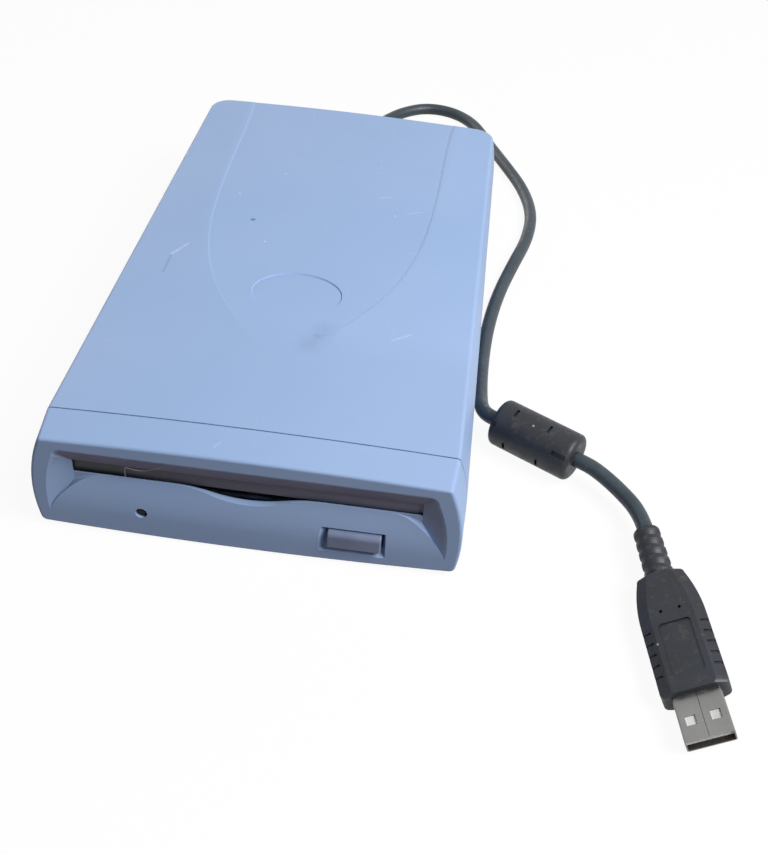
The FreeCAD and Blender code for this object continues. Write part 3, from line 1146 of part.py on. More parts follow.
def cord_path():
    edges, radii = [], []
    last = CORD_ROUTE[0]
    for before, corner, after in zip(CORD_ROUTE, CORD_ROUTE[1:], CORD_ROUTE[2:]):
        start, middle, end, radius = corner_arc(before, corner, after)
        edges.append(Part.LineSegment(last, start).toShape())
        edges.append(Part.Arc(start, middle, end).toShape())
        radii.append(radius)
        last = end
    edges.append(Part.LineSegment(last, CORD_ROUTE[-1]).toShape())
    return Part.Wire(edges), radii


def usb_cord():
    path, radii = cord_path()
    start = CORD_ROUTE[0]
    direction = CORD_ROUTE[1] - CORD_ROUTE[0]
    section = Part.Wire([Part.Circle(start, direction, CORD_R).toShape()])
    solid = path.makePipeShell([section], True, True)
    expected = math.pi * CORD_R ** 2 * path.Length
    print("cord length %.1f mm, volume over section times length %.4f" % (path.Length, solid.Volume / expected))
    print("cord arc radii:", " ".join("%.1f" % r for r in radii))
    return solid


def along_cord(start, end):
    direction = end - start
    return direction.normalize()


def cable_gland():
    """Moulded bush clipped into the back wall, with a short tapered boot outside."""
    root = V(EXIT_X, Y_BACK, EXIT_Z)
    inner_y = Y_BACK - WALL
    collar = rod(GLAND_R - 1.1, V(EXIT_X, inner_y - 0.6, EXIT_Z), V(EXIT_X, Y_BACK + 0.1, EXIT_Z))
    flange = rod(GLAND_R, root, root + V(0, 1.4, 0))
    catch = rod(GLAND_R - 0.3, V(EXIT_X, inner_y - 1.8, EXIT_Z), V(EXIT_X, inner_y - 0.1, EXIT_Z))
    boot = Part.makeCone(GLAND_R - 0.8, CORD_R + 0.5, GLAND_LENGTH, root, Y_AXIS)
    rings = [tube(GLAND_R + 1, GLAND_R - 1.2 - 0.13 * i, root + V(0, 3.0 + 2.2 * i, 0), root + V(0, 3.9 + 2.2 * i, 0))
             for i in range(4)]
    return cut(fuse([collar, flange, catch, boot]), rings)


def ferrite_core():
    """Moulded choke round the cord, with two rows of mould notches."""
    u = along_cord(FERRITE_FROM, FERRITE_TO)
    a = FERRITE_FROM + u * FERRITE_ENTRY
    b = a + u * FERRITE_LENGTH
    body = rod(FERRITE_R, a, b)
    rims = [e for e in body.Edges if e.Length > 2 * FERRITE_R and e.Closed]
    body = body.makeFillet(1.7, rims)
    side = u.cross(Z_AXIS).normalize()
    tools = [rod(CORD_R, a - u, b + u)]
    for seam in (FERRITE_SEAM, FERRITE_SEAM + 180.0):
        tools.append(ferrite_notch(a - u * 0.5, u, side, seam, 2.6, 1.2))
        tools.append(ferrite_notch(b - u * 5.6, u, side, seam, 4.4, 1.3))
        for tilt in (seam - FERRITE_SLIT_TILT, seam + FERRITE_SLIT_TILT):
            for share in (0.21, 0.63):
                tools.append(ferrite_notch(a + u * (FERRITE_LENGTH * share), u, side, tilt, 0.8, 2.8))
    return cut(body, tools)


def ferrite_notch(at, u, side, tilt, length, width):
    """Small rectangular notch in the skin of the choke, at a tilt in degrees."""
    out = side * math.cos(math.radians(tilt)) + Z_AXIS * math.sin(math.radians(tilt))
    across = u.cross(out).normalize() * (width / 2)
    base = at + out * (FERRITE_R - FERRITE_NOTCH_DEPTH)
    return prism([base - across, base + across, base + across + u * length, base - across + u * length], out * 3.0)


def plug_placement():
    """The plug lies in line with the cord's last run, rolled about its axis."""
    u = along_cord(CORD_ROUTE[-2], CORD_ROUTE[-1])
    heading = math.degrees(math.atan2(u.y, u.x)) - 90.0
    turn = FreeCAD.Rotation(Z_AXIS, heading).multiply(FreeCAD.Rotation(Y_AXIS, PLUG_ROLL))
    return FreeCAD.Placement(CORD_ROUTE[-1], turn)


def placed(shape):
    result = shape.copy()
    result.Placement = plug_placement().multiply(result.Placement)
    return result


def plug_strain_relief():
    """Tapered boot with five deep ribs, moulded on the cord."""
    pitch = STRAIN_LENGTH / STRAIN_RIBS
    profile = [V(0, 0, 0)]
    for i in range(STRAIN_RIBS):
        y = pitch * i
        crest = CORD_R + 1.4 + 0.06 * i
        groove = CORD_R + 0.4 + 0.08 * i
        profile += [V(groove, y, 0), V(groove, y + 0.5, 0), V(crest - 0.4, y + 0.6, 0), V(crest, y + 1.0, 0),
                    V(crest, y + pitch * 0.62, 0), V(crest - 0.4, y + pitch * 0.75, 0)]
    profile += [V(CORD_R + 1.0, STRAIN_LENGTH, 0), V(0, STRAIN_LENGTH, 0)]
    face = Part.Face(Part.makePolygon(profile + [profile[0]]))
    return placed(face.revolve(V(0, 0, 0), Y_AXIS, 360))


def mould_outline(z, inset):
    """Plan of the plug body at one height: narrow at the cord, swelling along an arc."""
    back, wide, r = MOULD_BACK_HALF - inset, MOULD_HALF - inset, MOULD_CORNER_R
    y0, y1 = STRAIN_LENGTH, STRAIN_LENGTH + MOULD_LENGTH
    y_start, y_wide = y0 + r, y0 + MOULD_SWELL
    swell, run = wide - back, y_wide - y_start
    radius = (swell ** 2 + run ** 2) / (2 * swell)
    half_turn = math.asin(run / radius) / 2
    swell_mid = wide - radius * (1 - math.cos(half_turn)), y_wide - radius * math.sin(half_turn)
    nip = r * (1 - math.cos(math.pi / 4))

    def at(x, y):
        return V(x, y, z)

    def half(side):
        return [Part.Arc(at(side * (back - r), y0), at(side * (back - nip), y0 + nip), at(side * back, y_start)),
                Part.Arc(at(side * back, y_start), at(side * swell_mid[0], swell_mid[1]), at(side * wide, y_wide)),
                Part.LineSegment(at(side * wide, y_wide), at(side * wide, y1 - r)),
                Part.Arc(at(side * wide, y1 - r), at(side * (wide - nip), y1 - nip), at(side * (wide - r), y1))]

    ends = [Part.LineSegment(at(wide - r, y1), at(r - wide, y1)), Part.LineSegment(at(r - back, y0), at(back - r, y0))]
    return Part.Wire(Part.__sortEdges__([edge.toShape() for edge in half(1) + half(-1) + ends]))


def mould_form(skin=0.0):
    """Eight-sided body: two flats with eased rims, four shallow bevels and upright side walls."""
    rise, side = MOULD_HALF_Z - skin, MOULD_SIDE_Z
    rim, eased, slope = rise - MOULD_RIM, MOULD_SLOPE + MOULD_RIM, MOULD_SLOPE - MOULD_RIM
    levels = ((-rise, eased), (-rim, slope), (-side, 0.0), (side, 0.0), (rim, slope), (rise, eased))
    return Part.makeLoft([mould_outline(z, inset + skin) for z, inset in levels], True, True)


def plug_overmould():
    """Moulded plug body with a panel recess above and grip grooves across the bevels."""
    y0, y1 = STRAIN_LENGTH, STRAIN_LENGTH + MOULD_LENGTH
    block = mould_form()
    panel = rounded_box(-4.1, 4.1, y0 + 16.1, y0 + 31.8, MOULD_HALF_Z - 0.4, MOULD_HALF_Z + 2, 1.0)
    holes = [rod(0.45, V(x, y0 + 12.5, MOULD_HALF_Z - 1.2), V(x, y0 + 12.5, MOULD_HALF_Z + 1)) for x in (-2.4, 2.4)]
    core = mould_form(0.45)
    grooves = []
    for i in range(GRIP_GROOVES):
        y = y0 + 17.4 + 3.2 * i
        grooves += both_sides(box(MOULD_HALF - MOULD_SLOPE, MOULD_HALF + 1, y, y + 0.8, -3.7, 3.7).cut(core))
    socket = box(-SHELL_WIDTH / 2, SHELL_WIDTH / 2, y1 - SHELL_SEAT, y1 + 1, -SHELL_HEIGHT / 2, SHELL_HEIGHT / 2)
    return placed(cut(block, [panel, socket] + holes + grooves))


def plug_shell():
    """Folded steel shell of the plug with its two latch windows on each face."""
    y0 = STRAIN_LENGTH + MOULD_LENGTH - SHELL_SEAT
    y1 = STRAIN_LENGTH + MOULD_LENGTH + SHELL_LENGTH
    half, rise = SHELL_WIDTH / 2, SHELL_HEIGHT / 2
    shell = rounded_box(-half, half, y0, y1, -rise, rise, 0.6, "y")
    shell = shell.cut(box(-half + SHELL_SHEET, half - SHELL_SHEET, y0 + 1, y1 + 1, -rise + SHELL_SHEET, rise - SHELL_SHEET))
    y_window = STRAIN_LENGTH + MOULD_LENGTH + 5.7
    windows = [box(x - 1.25, x + 1.25, y_window, y_window + 2.5, -rise - 1, rise + 1) for x in (-3.0, 3.0)]
    seam = box(-0.08, 0.08, y0 + 1, y1 + 1, rise - 1, rise + 1)
    return placed(cut(shell, windows + [seam]))


def plug_insulator():
    """Plastic tongue in the half of the shell behind the folded seam."""
    y0 = STRAIN_LENGTH + MOULD_LENGTH - SHELL_SEAT + 1.1
    y1 = STRAIN_LENGTH + MOULD_LENGTH + SHELL_LENGTH - 0.5
    half, rise = SHELL_WIDTH / 2 - SHELL_SHEET, SHELL_HEIGHT / 2 - SHELL_SHEET
    return placed(box(-half, half, y0, y1, 0.0, rise))


def plug_contacts():
    """Four spring contacts on the tongue; the outer two reach further forward."""
    y1 = STRAIN_LENGTH + MOULD_LENGTH + SHELL_LENGTH
    strips = []
    for x, back in ((-3.5, 1.7), (-1.0, 2.7), (1.0, 2.7), (3.5, 1.7)):
        strips.append(box(x - 0.5, x + 0.5, y1 - back - 7.4, y1 - back, -0.2, 0.0))
    return placed(Part.makeCompound(strips))


# ================================================================ build
def build():
    outer = enclosure_outer()
    inner = enclosure_inner(WALL)
    return {
        "top_cover": top_cover(outer, inner),
        "bottom_case": bottom_case(outer, inner),
        "front_bezel": front_bezel(),
        "slot_door": slot_door(),
        "door_spring": door_spring(),
        "eject_button": eject_button(),
        "led_lens": led_lens(),
        "led_diode": led_diode(),
        "rubber_feet": rubber_feet(),
        "case_screws": case_screws(),
        "drive_screws": drive_screws(),
        "drive_frame": drive_frame(),
        "drive_cover": drive_cover(),
        "disk_holder": disk_holder(),
        "holder_rollers": holder_rollers(),
        "slide_plate": slide_plate(),
        "eject_spring": eject_spring(),
        "spring_post": spring_post(),
        "shutter_lever": shutter_lever(),
        "lever_stud": lever_stud(),
        "lever_spring": lever_spring(),
        "motor_board": motor_board(),
        "motor_coils": motor_coils(),
        "spindle_bearing": spindle_bearing(),
        "spindle_rotor": spindle_rotor(),
        "chucking_magnet": chucking_magnet(),
        "drive_pin": drive_pin(),
        "stepper_motor": stepper_motor(),
        "stepper_bracket": stepper_bracket(),
        "lead_screw": lead_screw(),
        "screw_pivot": screw_pivot(),
        "guide_rod": guide_rod(),
        "rod_clamps": rod_clamps(),
        "head_carriage": head_carriage(),
        "lower_head": lower_head(),
        "upper_head_arm": upper_head_arm(),
        "upper_head": upper_head(),
        "logic_board": logic_board(),
        "sensor_switches": sensor_switches(),
        "ribbon_cable": ribbon_cable(),
        "bridge_board": bridge_board(),
        "board_screws": board_screws(),
        "cord_connector": cord_connector(),
        "cable_gland": cable_gland(),
        "usb_cord": usb_cord(),
        "ferrite_core": ferrite_core(),
        "plug_strain_relief": plug_strain_relief(),
        "plug_overmould": plug_overmould(),
        "plug_shell": plug_shell(),
        "plug_insulator": plug_insulator(),
        "plug_contacts": plug_contacts(),
    }


os.makedirs("parts", exist_ok=True)
for name, shape in build().items():
    shape.exportStep(os.path.join("parts", name + ".step"))
    print("%-20s %2d solids %s" % (name, len(shape.Solids), "valid" if shape.isValid() else "INVALID"))
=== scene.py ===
"""Looks of the external floppy disk drive: finishes, cord, small marks of use, light and camera."""
import json
import math

import bpy
from mathutils import Matrix, Vector


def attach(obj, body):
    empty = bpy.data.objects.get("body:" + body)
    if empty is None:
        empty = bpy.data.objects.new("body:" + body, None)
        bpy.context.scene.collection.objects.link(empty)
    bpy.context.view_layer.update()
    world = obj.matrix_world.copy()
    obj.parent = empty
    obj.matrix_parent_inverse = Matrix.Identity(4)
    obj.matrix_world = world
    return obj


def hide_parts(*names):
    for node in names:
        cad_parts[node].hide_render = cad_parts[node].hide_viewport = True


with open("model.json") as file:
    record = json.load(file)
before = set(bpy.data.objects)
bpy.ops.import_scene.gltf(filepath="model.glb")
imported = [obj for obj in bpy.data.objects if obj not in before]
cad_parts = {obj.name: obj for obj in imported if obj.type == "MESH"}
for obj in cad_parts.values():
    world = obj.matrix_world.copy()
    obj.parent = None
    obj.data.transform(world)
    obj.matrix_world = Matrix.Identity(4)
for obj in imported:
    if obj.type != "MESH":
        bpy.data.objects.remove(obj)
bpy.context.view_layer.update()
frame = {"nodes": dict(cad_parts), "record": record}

MM = 0.001

# ---------------------------------------------------------------- camera
CAMERA_AZIMUTH = 2.204          # degrees, 0 looks along +Y
CAMERA_ELEVATION = 42.260
CAMERA_ROLL = 5.733
CAMERA_TARGET = Vector((39.56, -37.69, 0.8)) * MM
CAMERA_DISTANCE = 342.1 * MM
CAMERA_LENS = 47.74
CAMERA_SHIFT = (-0.0377, 0.0023)
CAMERA_NEAR = 10 * MM

# ---------------------------------------------------------------- cord
CORD_DIAMETER = 4.5 * MM
CORD_SEGMENTS = 14              # steps of the curve per point of its route
CORD_ROUNDNESS = 8
CORD_LIE_Z = 2.3                # millimetres, where the cord lies on the floor

# route in millimetres, from the gland to the plug's strain relief; the ferrite core sits
# on the long straight run, so that run has a further point near each end
CORD_ROUTE = [
    (-5.0, 106.5, 12.0),
    (-5.0, 117.0, 12.0),
    (-2.6, 128.4, 8.3),
    (1.4, 139.2, 3.3),
    (5.0, 150.2, CORD_LIE_Z),
    (12.3, 161.0, CORD_LIE_Z),
    (22.3, 167.9, CORD_LIE_Z),
    (34.2, 166.5, CORD_LIE_Z),
    (43.8, 157.8, CORD_LIE_Z),
    (50.3, 143.0, CORD_LIE_Z),
    (58.6, 126.0, CORD_LIE_Z),
    (66.4, 109.0, CORD_LIE_Z),
    (70.7, 90.5, CORD_LIE_Z),
    (69.3, 72.0, CORD_LIE_Z),
    (64.8, 54.5, CORD_LIE_Z),
    (60.4, 35.0, CORD_LIE_Z),
    (57.9, 15.5, CORD_LIE_Z),
    (57.2, -3.0, CORD_LIE_Z),
    (57.6, -20.8, 3.1),
    (58.6, -33.7, 7.3),
    (64.3, -36.8, 7.3),
    (87.9, -49.6, 7.3),
    (92.3, -52.0, 7.3),
    (98.9, -57.7, 6.3),
    (105.1, -66.2, 6.1),
    (106.4, -73.0, 6.1),
]

# ---------------------------------------------------------------- lint, in millimetres
LINT_RADIUS = 0.065
LINT_SEGMENTS = 12
LINT_ROUTES = [
    [(-31.0, -92.4, 25.0), (-29.0, -92.3, 24.2), (-25.6, -92.4, 24.5), (-22.9, -92.6, 26.0),
     (-20.6, -93.0, 27.6)],
    [(-30.8, -92.4, 25.3), (-31.3, -92.6, 23.8), (-31.0, -92.7, 21.9)],
]

# ---------------------------------------------------------------- light
WORLD_FILL = (0.055, 0.048, 0.046)
WORLD_SEEN = (1.0, 1.0, 1.0)
KEY_PLACE, KEY_SIZE, KEY_POWER = Vector((0.55, -0.27, 0.75)), 0.5, 11.0
BACK_PLACE, BACK_SIZE, BACK_POWER = Vector((-0.70, 0.90, 0.25)), 0.8, 4.2
LAMP_AIM = Vector((0.0, 0.0, 0.02))
FLOOR_HALF = 3.0
FLOOR_ROUGH = 0.9
FLOOR_BOUNCE = (0.13, 0.10, 0.10)
FLOOR_SEEN = (0.90, 0.90, 0.90)
FLOOR_WHITE = 0.94              # share of plain white that the camera sees in the floor

# ---------------------------------------------------------------- colours, as they look
CASE_BLUE = (150, 177, 217)
CASE_PALE = (156, 181, 220)
CASE_DIM = (142, 166, 206)
SCRATCH_PALE = (206, 219, 240)  # the fine scratches and specks all over the case
SPECK_PALE = (222, 230, 244)
MARK_LIGHT = (206, 222, 246)    # the single marks on the cover
MARK_SPECK = (222, 232, 248)
MARK_DIM = (104, 124, 162)
# painted shade of the bezel's recess
RECESS_PAINTED_SHADE = (100, 80, 96)
GREY_VIOLET = (122, 135, 165)
GREY_VIOLET_DARK = (112, 123, 152)
DOOR_GREY = (70, 68, 80)
DOOR_LIGHT = (122, 124, 146)
# painted shade over the door's left end
DOOR_LEFT_PAINTED_SHADE = (48, 54, 58)
SMOKE = (7, 8, 10)
SMOKE_PALE = (12, 13, 16)
JACKET = (48, 61, 70)
JACKET_DARK = (34, 44, 52)
MOULD = (27, 32, 42)
MOULD_DARK = (17, 20, 27)
MOULD_FILM = (112, 106, 98)
DUST = (176, 172, 160)
RUBBER_BLACK = (32, 32, 34)
RUBBER_DUSTY = (70, 68, 64)
SHELL_STEEL = (140, 140, 139)
WHITE_NYLON = (226, 230, 228)
BOARD_GREEN = (30, 92, 56)
TRACE_GREEN = (52, 128, 78)
PAD_TIN = (196, 190, 170)
COPPER_DARK = (150, 82, 44)
COPPER_LIGHT = (206, 128, 78)

# specular level of the shader
CASE_SHEEN = 0.24
DARK_SHEEN = 0.3
LENS_SHEEN = 0.12

# ---------------------------------------------------------------- places of the tones, in metres
DOOR_ABOVE = (0.0150, 0.0160)   # over these heights the door's tones take over from the button's
DOOR_FADE = (-0.030, 0.045)     # along X, from the door's grey to its lighter end
DOOR_EDGE = (-0.034, -0.031)    # along X, where the darkest stretch of the door, its painted shade, ends
DOOR_WANDER = 0.004             # how far these limits wander
COVER_TOP = (0.0318, 0.0328)    # the marks fade in between these heights

# the bezel's recess, where shade is painted on: its stretch along Y, and the part of the surface's direction
# that counts
RECESS_FRONT = (-0.0934, -0.0930)
RECESS_BACK = (-0.0900, -0.0905)
LOOKS_DOWN = (-0.10, -0.30)
LOOKS_LEFT = (-0.15, -0.40)
LEFT_SHARE = 0.45
RECESS_SHADE_SHARE = 0.8

# the sunken arch on the cover in plan (mm): y and half-width, nose to back edge
ARCH = ((-48, 0), (-46, 5.3), (-44, 8.0), (-40, 11.9), (-35, 15.8), (-28, 20.5), (-20, 25.0), (-10, 29.3),
        (0, 32.2), (10, 34.2), (20, 35.5), (35, 36.5), (95, 38.8))
ARCH_WIDTH = 40.0               # the curve takes the half-widths as shares of this
ARCH_EDGE = (-0.0004, 0.0006)   # the painted tones change over this stretch across the outline
ARCH_START = (-0.048, -0.036)   # along Y, where they fade in behind the nose
COVER_MIDDLE = (-0.003, 0.003)
ARCH_PAINTED_LIGHT = 0.03                # painted light: lighter than the left of the cover by this share
# painted light: the right of the cover lighter by this share
RIGHT_PAINTED_LIGHT = 0.055

# marks on the cover, in plan (mm): start, end, half-width, soft edge, strength, colour
CASE_MARKS = [
    ((-20.8, 14.9), (-20.8, 14.9), 0.5, 0.5, 0.80, (58, 72, 104)),
    ((8.1, -45.1), (11.0, -37.6), 0.3, 5.0, 0.24, (108, 128, 166)),
    ((9.6, -40.7), (9.6, -40.7), 0.2, 1.6, 0.22, MARK_DIM),
    ((-40.7, -8.9), (-37.3, -2.7), 0.2, 0.3, 0.55, (212, 226, 248)),
    ((-40.8, -18.6), (-40.7, -10.0), 0.2, 0.4, 0.35, MARK_DIM),
    ((30.3, -38.4), (35.3, -34.5), 0.1, 0.25, 0.50, MARK_LIGHT),
    ((17.1, 36.9), (20.9, 38.4), 0.1, 0.25, 0.45, MARK_LIGHT),
    ((27.3, 29.3), (31.7, 31.7), 0.1, 0.25, 0.45, MARK_LIGHT),
    ((-8.3, -89.8), (-7.0, -87.7), 0.1, 0.3, 0.28, MARK_LIGHT),
    ((-28.4, 29.6), (-28.4, 29.6), 0.2, 0.3, 0.60, MARK_SPECK),
    ((14.9, 56.5), (14.9, 56.5), 0.2, 0.3, 0.60, MARK_SPECK),
    ((23.3, 27.0), (23.3, 27.0), 0.2, 0.3, 0.60, MARK_SPECK),
    ((-16.1, 45.1), (-16.1, 45.1), 0.2, 0.3, 0.55, MARK_SPECK),
    ((-14.6, 3.1), (-14.6, 3.1), 0.2, 0.3, 0.55, MARK_SPECK),
]


def linear(rgb):
    """A colour as it looks, in linear light."""
    def channel(value):
        value = value / 255
        return value / 12.92 if value <= 0.04045 else ((value + 0.055) / 1.055) ** 2.4
    return tuple(channel(v) for v in rgb) + (1.0,)


# ================================================================ node trees
class Nodes:
    """Short calls to add and link the nodes of one tree."""

    def __init__(self, tree):
        self.tree = tree

    def put(self, socket, value):
        """Links an output to the socket, or sets the socket's own value."""
        if isinstance(value, bpy.types.NodeSocket):
            self.tree.links.new(value, socket)
        else:
            socket.default_value = value

    def add(self, kind, inputs=(), **settings):
        """A new node with its settings, then its inputs, set or linked."""
        node = self.tree.nodes.new(kind)
        for name, value in settings.items():
            setattr(node, name, value)
        for key, value in dict(inputs).items():
            self.put(node.inputs[key], value)
        return node

    def maths(self, operation, a, b=0.0):
        return self.add("ShaderNodeMath", {0: a, 1: b}, operation=operation).outputs[0]

    def times(self, a, b):
        return self.maths("MULTIPLY", a, b)

    def mix(self, share, a, b):
        """From a at share 0 to b at share 1."""
        blend = self.add("ShaderNodeMix", {"Factor": share, "A": a, "B": b}, data_type="RGBA")
        return blend.outputs["Result"]

    def seen_directly(self):
        """1 for rays that come from the camera or by way of a gloss or a clear part."""
        rays = self.add("ShaderNodeLightPath").outputs
        seen = self.maths("MAXIMUM", rays["Is Camera Ray"], rays["Is Glossy Ray"])
        return self.maths("MAXIMUM", seen, rays["Is Transmission Ray"])

    def finish_with(self, output, share, first, second):
        """Ends the tree in a blend of two shaders."""
        blend = self.add("ShaderNodeMixShader", {"Fac": share, 1: first.outputs[0], 2: second.outputs[0]})
        self.put(self.tree.nodes[output].inputs["Surface"], blend.outputs[0])


class Skin(Nodes):
    """A material of the object. Scales count per metre: a noise of scale 1000 has grain of about 1 mm."""

    NOISE_SPAN = (0.3, 0.7)     # most of a noise's values lie between these

    def __init__(self, name):
        self.material = bpy.data.materials.new(name)
        self.material.use_nodes = True
        super().__init__(self.material.node_tree)
        self.shader = self.tree.nodes["Principled BSDF"]
        self.place = self.add("ShaderNodeTexCoord").outputs["Object"]
        self.axes = self.add("ShaderNodeSeparateXYZ", {"Vector": self.place}).outputs
        self.plan = self.vector("MULTIPLY", self.place, (1.0, 1.0, 0.0))

    def surface(self, **values):
        """Sets or links the shader's sockets; underscores stand for spaces."""
        for name, value in values.items():
            self.put(self.shader.inputs[name.replace("_", " ")], value)
        return self.material

    def stretched(self, scale):
        return self.add("ShaderNodeMapping", {"Vector": self.place, "Scale": scale}).outputs[0]

    def noise(self, scale, detail=2.0, place=None, rough=0.5):
        inputs = {"Vector": place or self.place, "Scale": scale, "Detail": detail, "Roughness": rough}
        return self.add("ShaderNodeTexNoise", inputs).outputs["Fac"]

    def ramp(self, value, low, high, to_low=0.0, to_high=1.0):
        inputs = {"Value": value, "From Min": low, "From Max": high, "To Min": to_low, "To Max": to_high}
        return self.add("ShaderNodeMapRange", inputs, clamp=True).outputs[0]

    def vector(self, operation, a, b):
        return self.add("ShaderNodeVectorMath", {0: a, 1: b}, operation=operation).outputs[0]

    def scaled(self, vector, factor):
        return self.add("ShaderNodeVectorMath", {0: vector, "Scale": factor}, operation="SCALE").outputs[0]

    def length(self, a):
        return self.add("ShaderNodeVectorMath", {0: a}, operation="LENGTH").outputs["Value"]

    def bump(self, height, depth, strength):
        inputs = {"Height": height, "Distance": depth, "Strength": strength}
        return self.add("ShaderNodeBump", inputs).outputs[0]

    def uneven(self, low, high, scale, detail=2.0):
        """A number that wanders between low and high."""
        return self.ramp(self.noise(scale, detail), *self.NOISE_SPAN, low, high)

    def mottle(self, one, other, scale, detail, low, high):
        """Patches of two colours; the noise goes from one to the other between low and high."""
        return self.mix(self.ramp(self.noise(scale, detail), low, high), linear(one), linear(other))

    def stain(self, tone, where, share, colour):
        """The tone, with a share of a colour over it where a pattern is 1."""
        return self.mix(self.times(where, share), tone, linear(colour))

    def mark(self, start, end, half, soft):
        """1 along a line seen in plan, given in millimetres, falling to 0 over a soft edge."""
        start, end = Vector((*start, 0.0)) * MM, Vector((*end, 0.0)) * MM
        run, off = end - start, self.vector("SUBTRACT", self.plan, start)
        rate = run / run.length_squared if run.length_squared else run
        along = self.add("ShaderNodeVectorMath", {0: off, 1: rate}, operation="DOT_PRODUCT").outputs["Value"]
        foot = self.scaled(run, self.ramp(along, 0.0, 1.0))
        away = self.length(self.vector("SUBTRACT", off, foot))
        return self.ramp(away, half * MM, (half + soft) * MM, 1.0, 0.0)

    def chosen(self, chance, share):
        """1 for about a share of the cells of a random pattern."""
        return self.ramp(chance, share, share - 0.01)

    def scratches(self, scale, half_length, half_width, share):
        """A few of the cells of a random pattern hold one short scratch, each at its own angle."""
        cells = self.add("ShaderNodeTexVoronoi", {"Vector": self.plan, "Scale": scale, "Randomness": 1.0},
                         voronoi_dimensions="2D")
        chance = self.add("ShaderNodeSeparateColor", {"Color": cells.outputs["Color"]}).outputs
        off = self.vector("SUBTRACT", self.plan, cells.outputs["Position"])
        turn = self.times(chance["Green"], math.tau)
        turned = self.add("ShaderNodeVectorRotate", {"Vector": off, "Angle": turn}, rotation_type="Z_AXIS")
        apart = self.add("ShaderNodeSeparateXYZ", {"Vector": turned.outputs[0]}).outputs
        reach = self.times(chance["Blue"], half_length * MM)
        lies_in = self.maths("LESS_THAN", self.maths("ABSOLUTE", apart["X"]), reach)
        thin = self.ramp(self.maths("ABSOLUTE", apart["Y"]), half_width * MM * 0.4, half_width * MM, 1.0, 0.0)
        return self.times(self.times(thin, lies_in), self.chosen(chance["Red"], share))

    def flecks(self, scale, radius, share):
        """Scattered specks: a few of the cells of a random pattern hold one; cells count as 1 wide."""
        cells = self.add("ShaderNodeTexVoronoi", {"Vector": self.place, "Scale": scale})
        dot = self.ramp(cells.outputs["Distance"], radius * 0.6, radius, 1.0, 0.0)
        chance = self.add("ShaderNodeSeparateColor", {"Color": cells.outputs["Color"]}).outputs["Red"]
        return self.times(dot, self.chosen(chance, share))

    def curve(self, value, points):
        """A smooth curve through a few points, from 0 to 1 both ways."""
        node = self.add("ShaderNodeFloatCurve", {"Value": value})
        line = node.mapping.curves[0]
        line.points[0].location, line.points[1].location = points[0], points[-1]
        for x, y in points[1:-1]:
            line.points.new(x, y)
        node.mapping.update()
        return node.outputs[0]


# ================================================================ finishes
def arch_painted_shading(skin):
    """Painted light and shade of the cover's slopes: the arch a little lighter than the left of the cover,
    the right of the cover lighter still.
    """
    first, last = ARCH[0][0], ARCH[-1][0]
    points = [((y - first) / (last - first), half / ARCH_WIDTH) for y, half in ARCH]
    along = skin.ramp(skin.axes["Y"], first * MM, last * MM)
    half = skin.times(skin.curve(along, points), ARCH_WIDTH * MM)
    over = skin.maths("SUBTRACT", skin.maths("ABSOLUTE", skin.axes["X"]), half)
    outside = skin.ramp(over, *ARCH_EDGE)
    inside = skin.maths("SUBTRACT", 1.0, outside)
    right = skin.times(outside, skin.ramp(skin.axes["X"], *COVER_MIDDLE))
    gain = skin.maths("ADD", skin.times(inside, ARCH_PAINTED_LIGHT), skin.times(right, RIGHT_PAINTED_LIGHT))
    behind_nose = skin.ramp(skin.axes["Y"], *ARCH_START)
    return skin.maths("ADD", 1.0, skin.times(gain, behind_nose))


def recess_shade(skin):
    """1 on the faces of the bezel's recess that look down, less on those that look left: painted shade goes
    there.
    """
    normal = skin.add("ShaderNodeNewGeometry").outputs["Normal"]
    facing = skin.add("ShaderNodeSeparateXYZ", {"Vector": normal}).outputs
    down = skin.ramp(facing["Z"], *LOOKS_DOWN)
    left = skin.ramp(facing["X"], *LOOKS_LEFT, 0.0, LEFT_SHARE)
    y = skin.axes["Y"]
    in_recess = skin.times(skin.ramp(y, *RECESS_FRONT), skin.ramp(y, *RECESS_BACK))
    return skin.times(skin.maths("MAXIMUM", down, left), in_recess)


def case_plastic():
    """Pale blue satin moulding with fine spark grain, specks, short scratches and a few marks; painted light
    and shade on the cover around the arch, painted shade in the bezel's recess.
    """
    skin = Skin("case_blue_satin")
    tone = skin.mottle(CASE_BLUE, CASE_PALE, 14.0, 3.0, 0.35, 0.65)
    tone = skin.stain(tone, skin.ramp(skin.noise(55.0, 4.0), 0.55, 0.8), 0.2, CASE_DIM)
    long_ones = skin.scratches(70.0, 3.5, 0.09, 0.16)
    short_ones = skin.scratches(150.0, 1.6, 0.06, 0.14)
    worn = skin.maths("MAXIMUM", long_ones, short_ones)
    tone = skin.stain(tone, worn, 0.28, SCRATCH_PALE)
    tone = skin.stain(tone, skin.flecks(95.0, 0.022, 0.22), 0.45, SPECK_PALE)
    broken = skin.ramp(skin.noise(700.0, 3.0), 0.3, 0.6, 0.45, 1.0)
    on_top = skin.times(skin.ramp(skin.axes["Z"], *COVER_TOP), broken)
    for start, end, half, soft, share, colour in CASE_MARKS:
        tone = skin.stain(tone, skin.times(skin.mark(start, end, half, soft), on_top), share, colour)
    # painted light and shade of the cover's slopes around the arch
    tone = skin.scaled(tone, arch_painted_shading(skin))
    # painted shade on the faces of the recess that look down or left
    tone = skin.stain(tone, recess_shade(skin), RECESS_SHADE_SHARE, RECESS_PAINTED_SHADE)
    rough = skin.maths("ADD", skin.uneven(0.44, 0.52, 900.0), skin.times(worn, -0.08))
    return skin.surface(Base_Color=tone, Roughness=rough, Specular_IOR_Level=CASE_SHEEN,
                        Normal=skin.bump(skin.noise(2600.0), 0.04 * MM, 0.35))


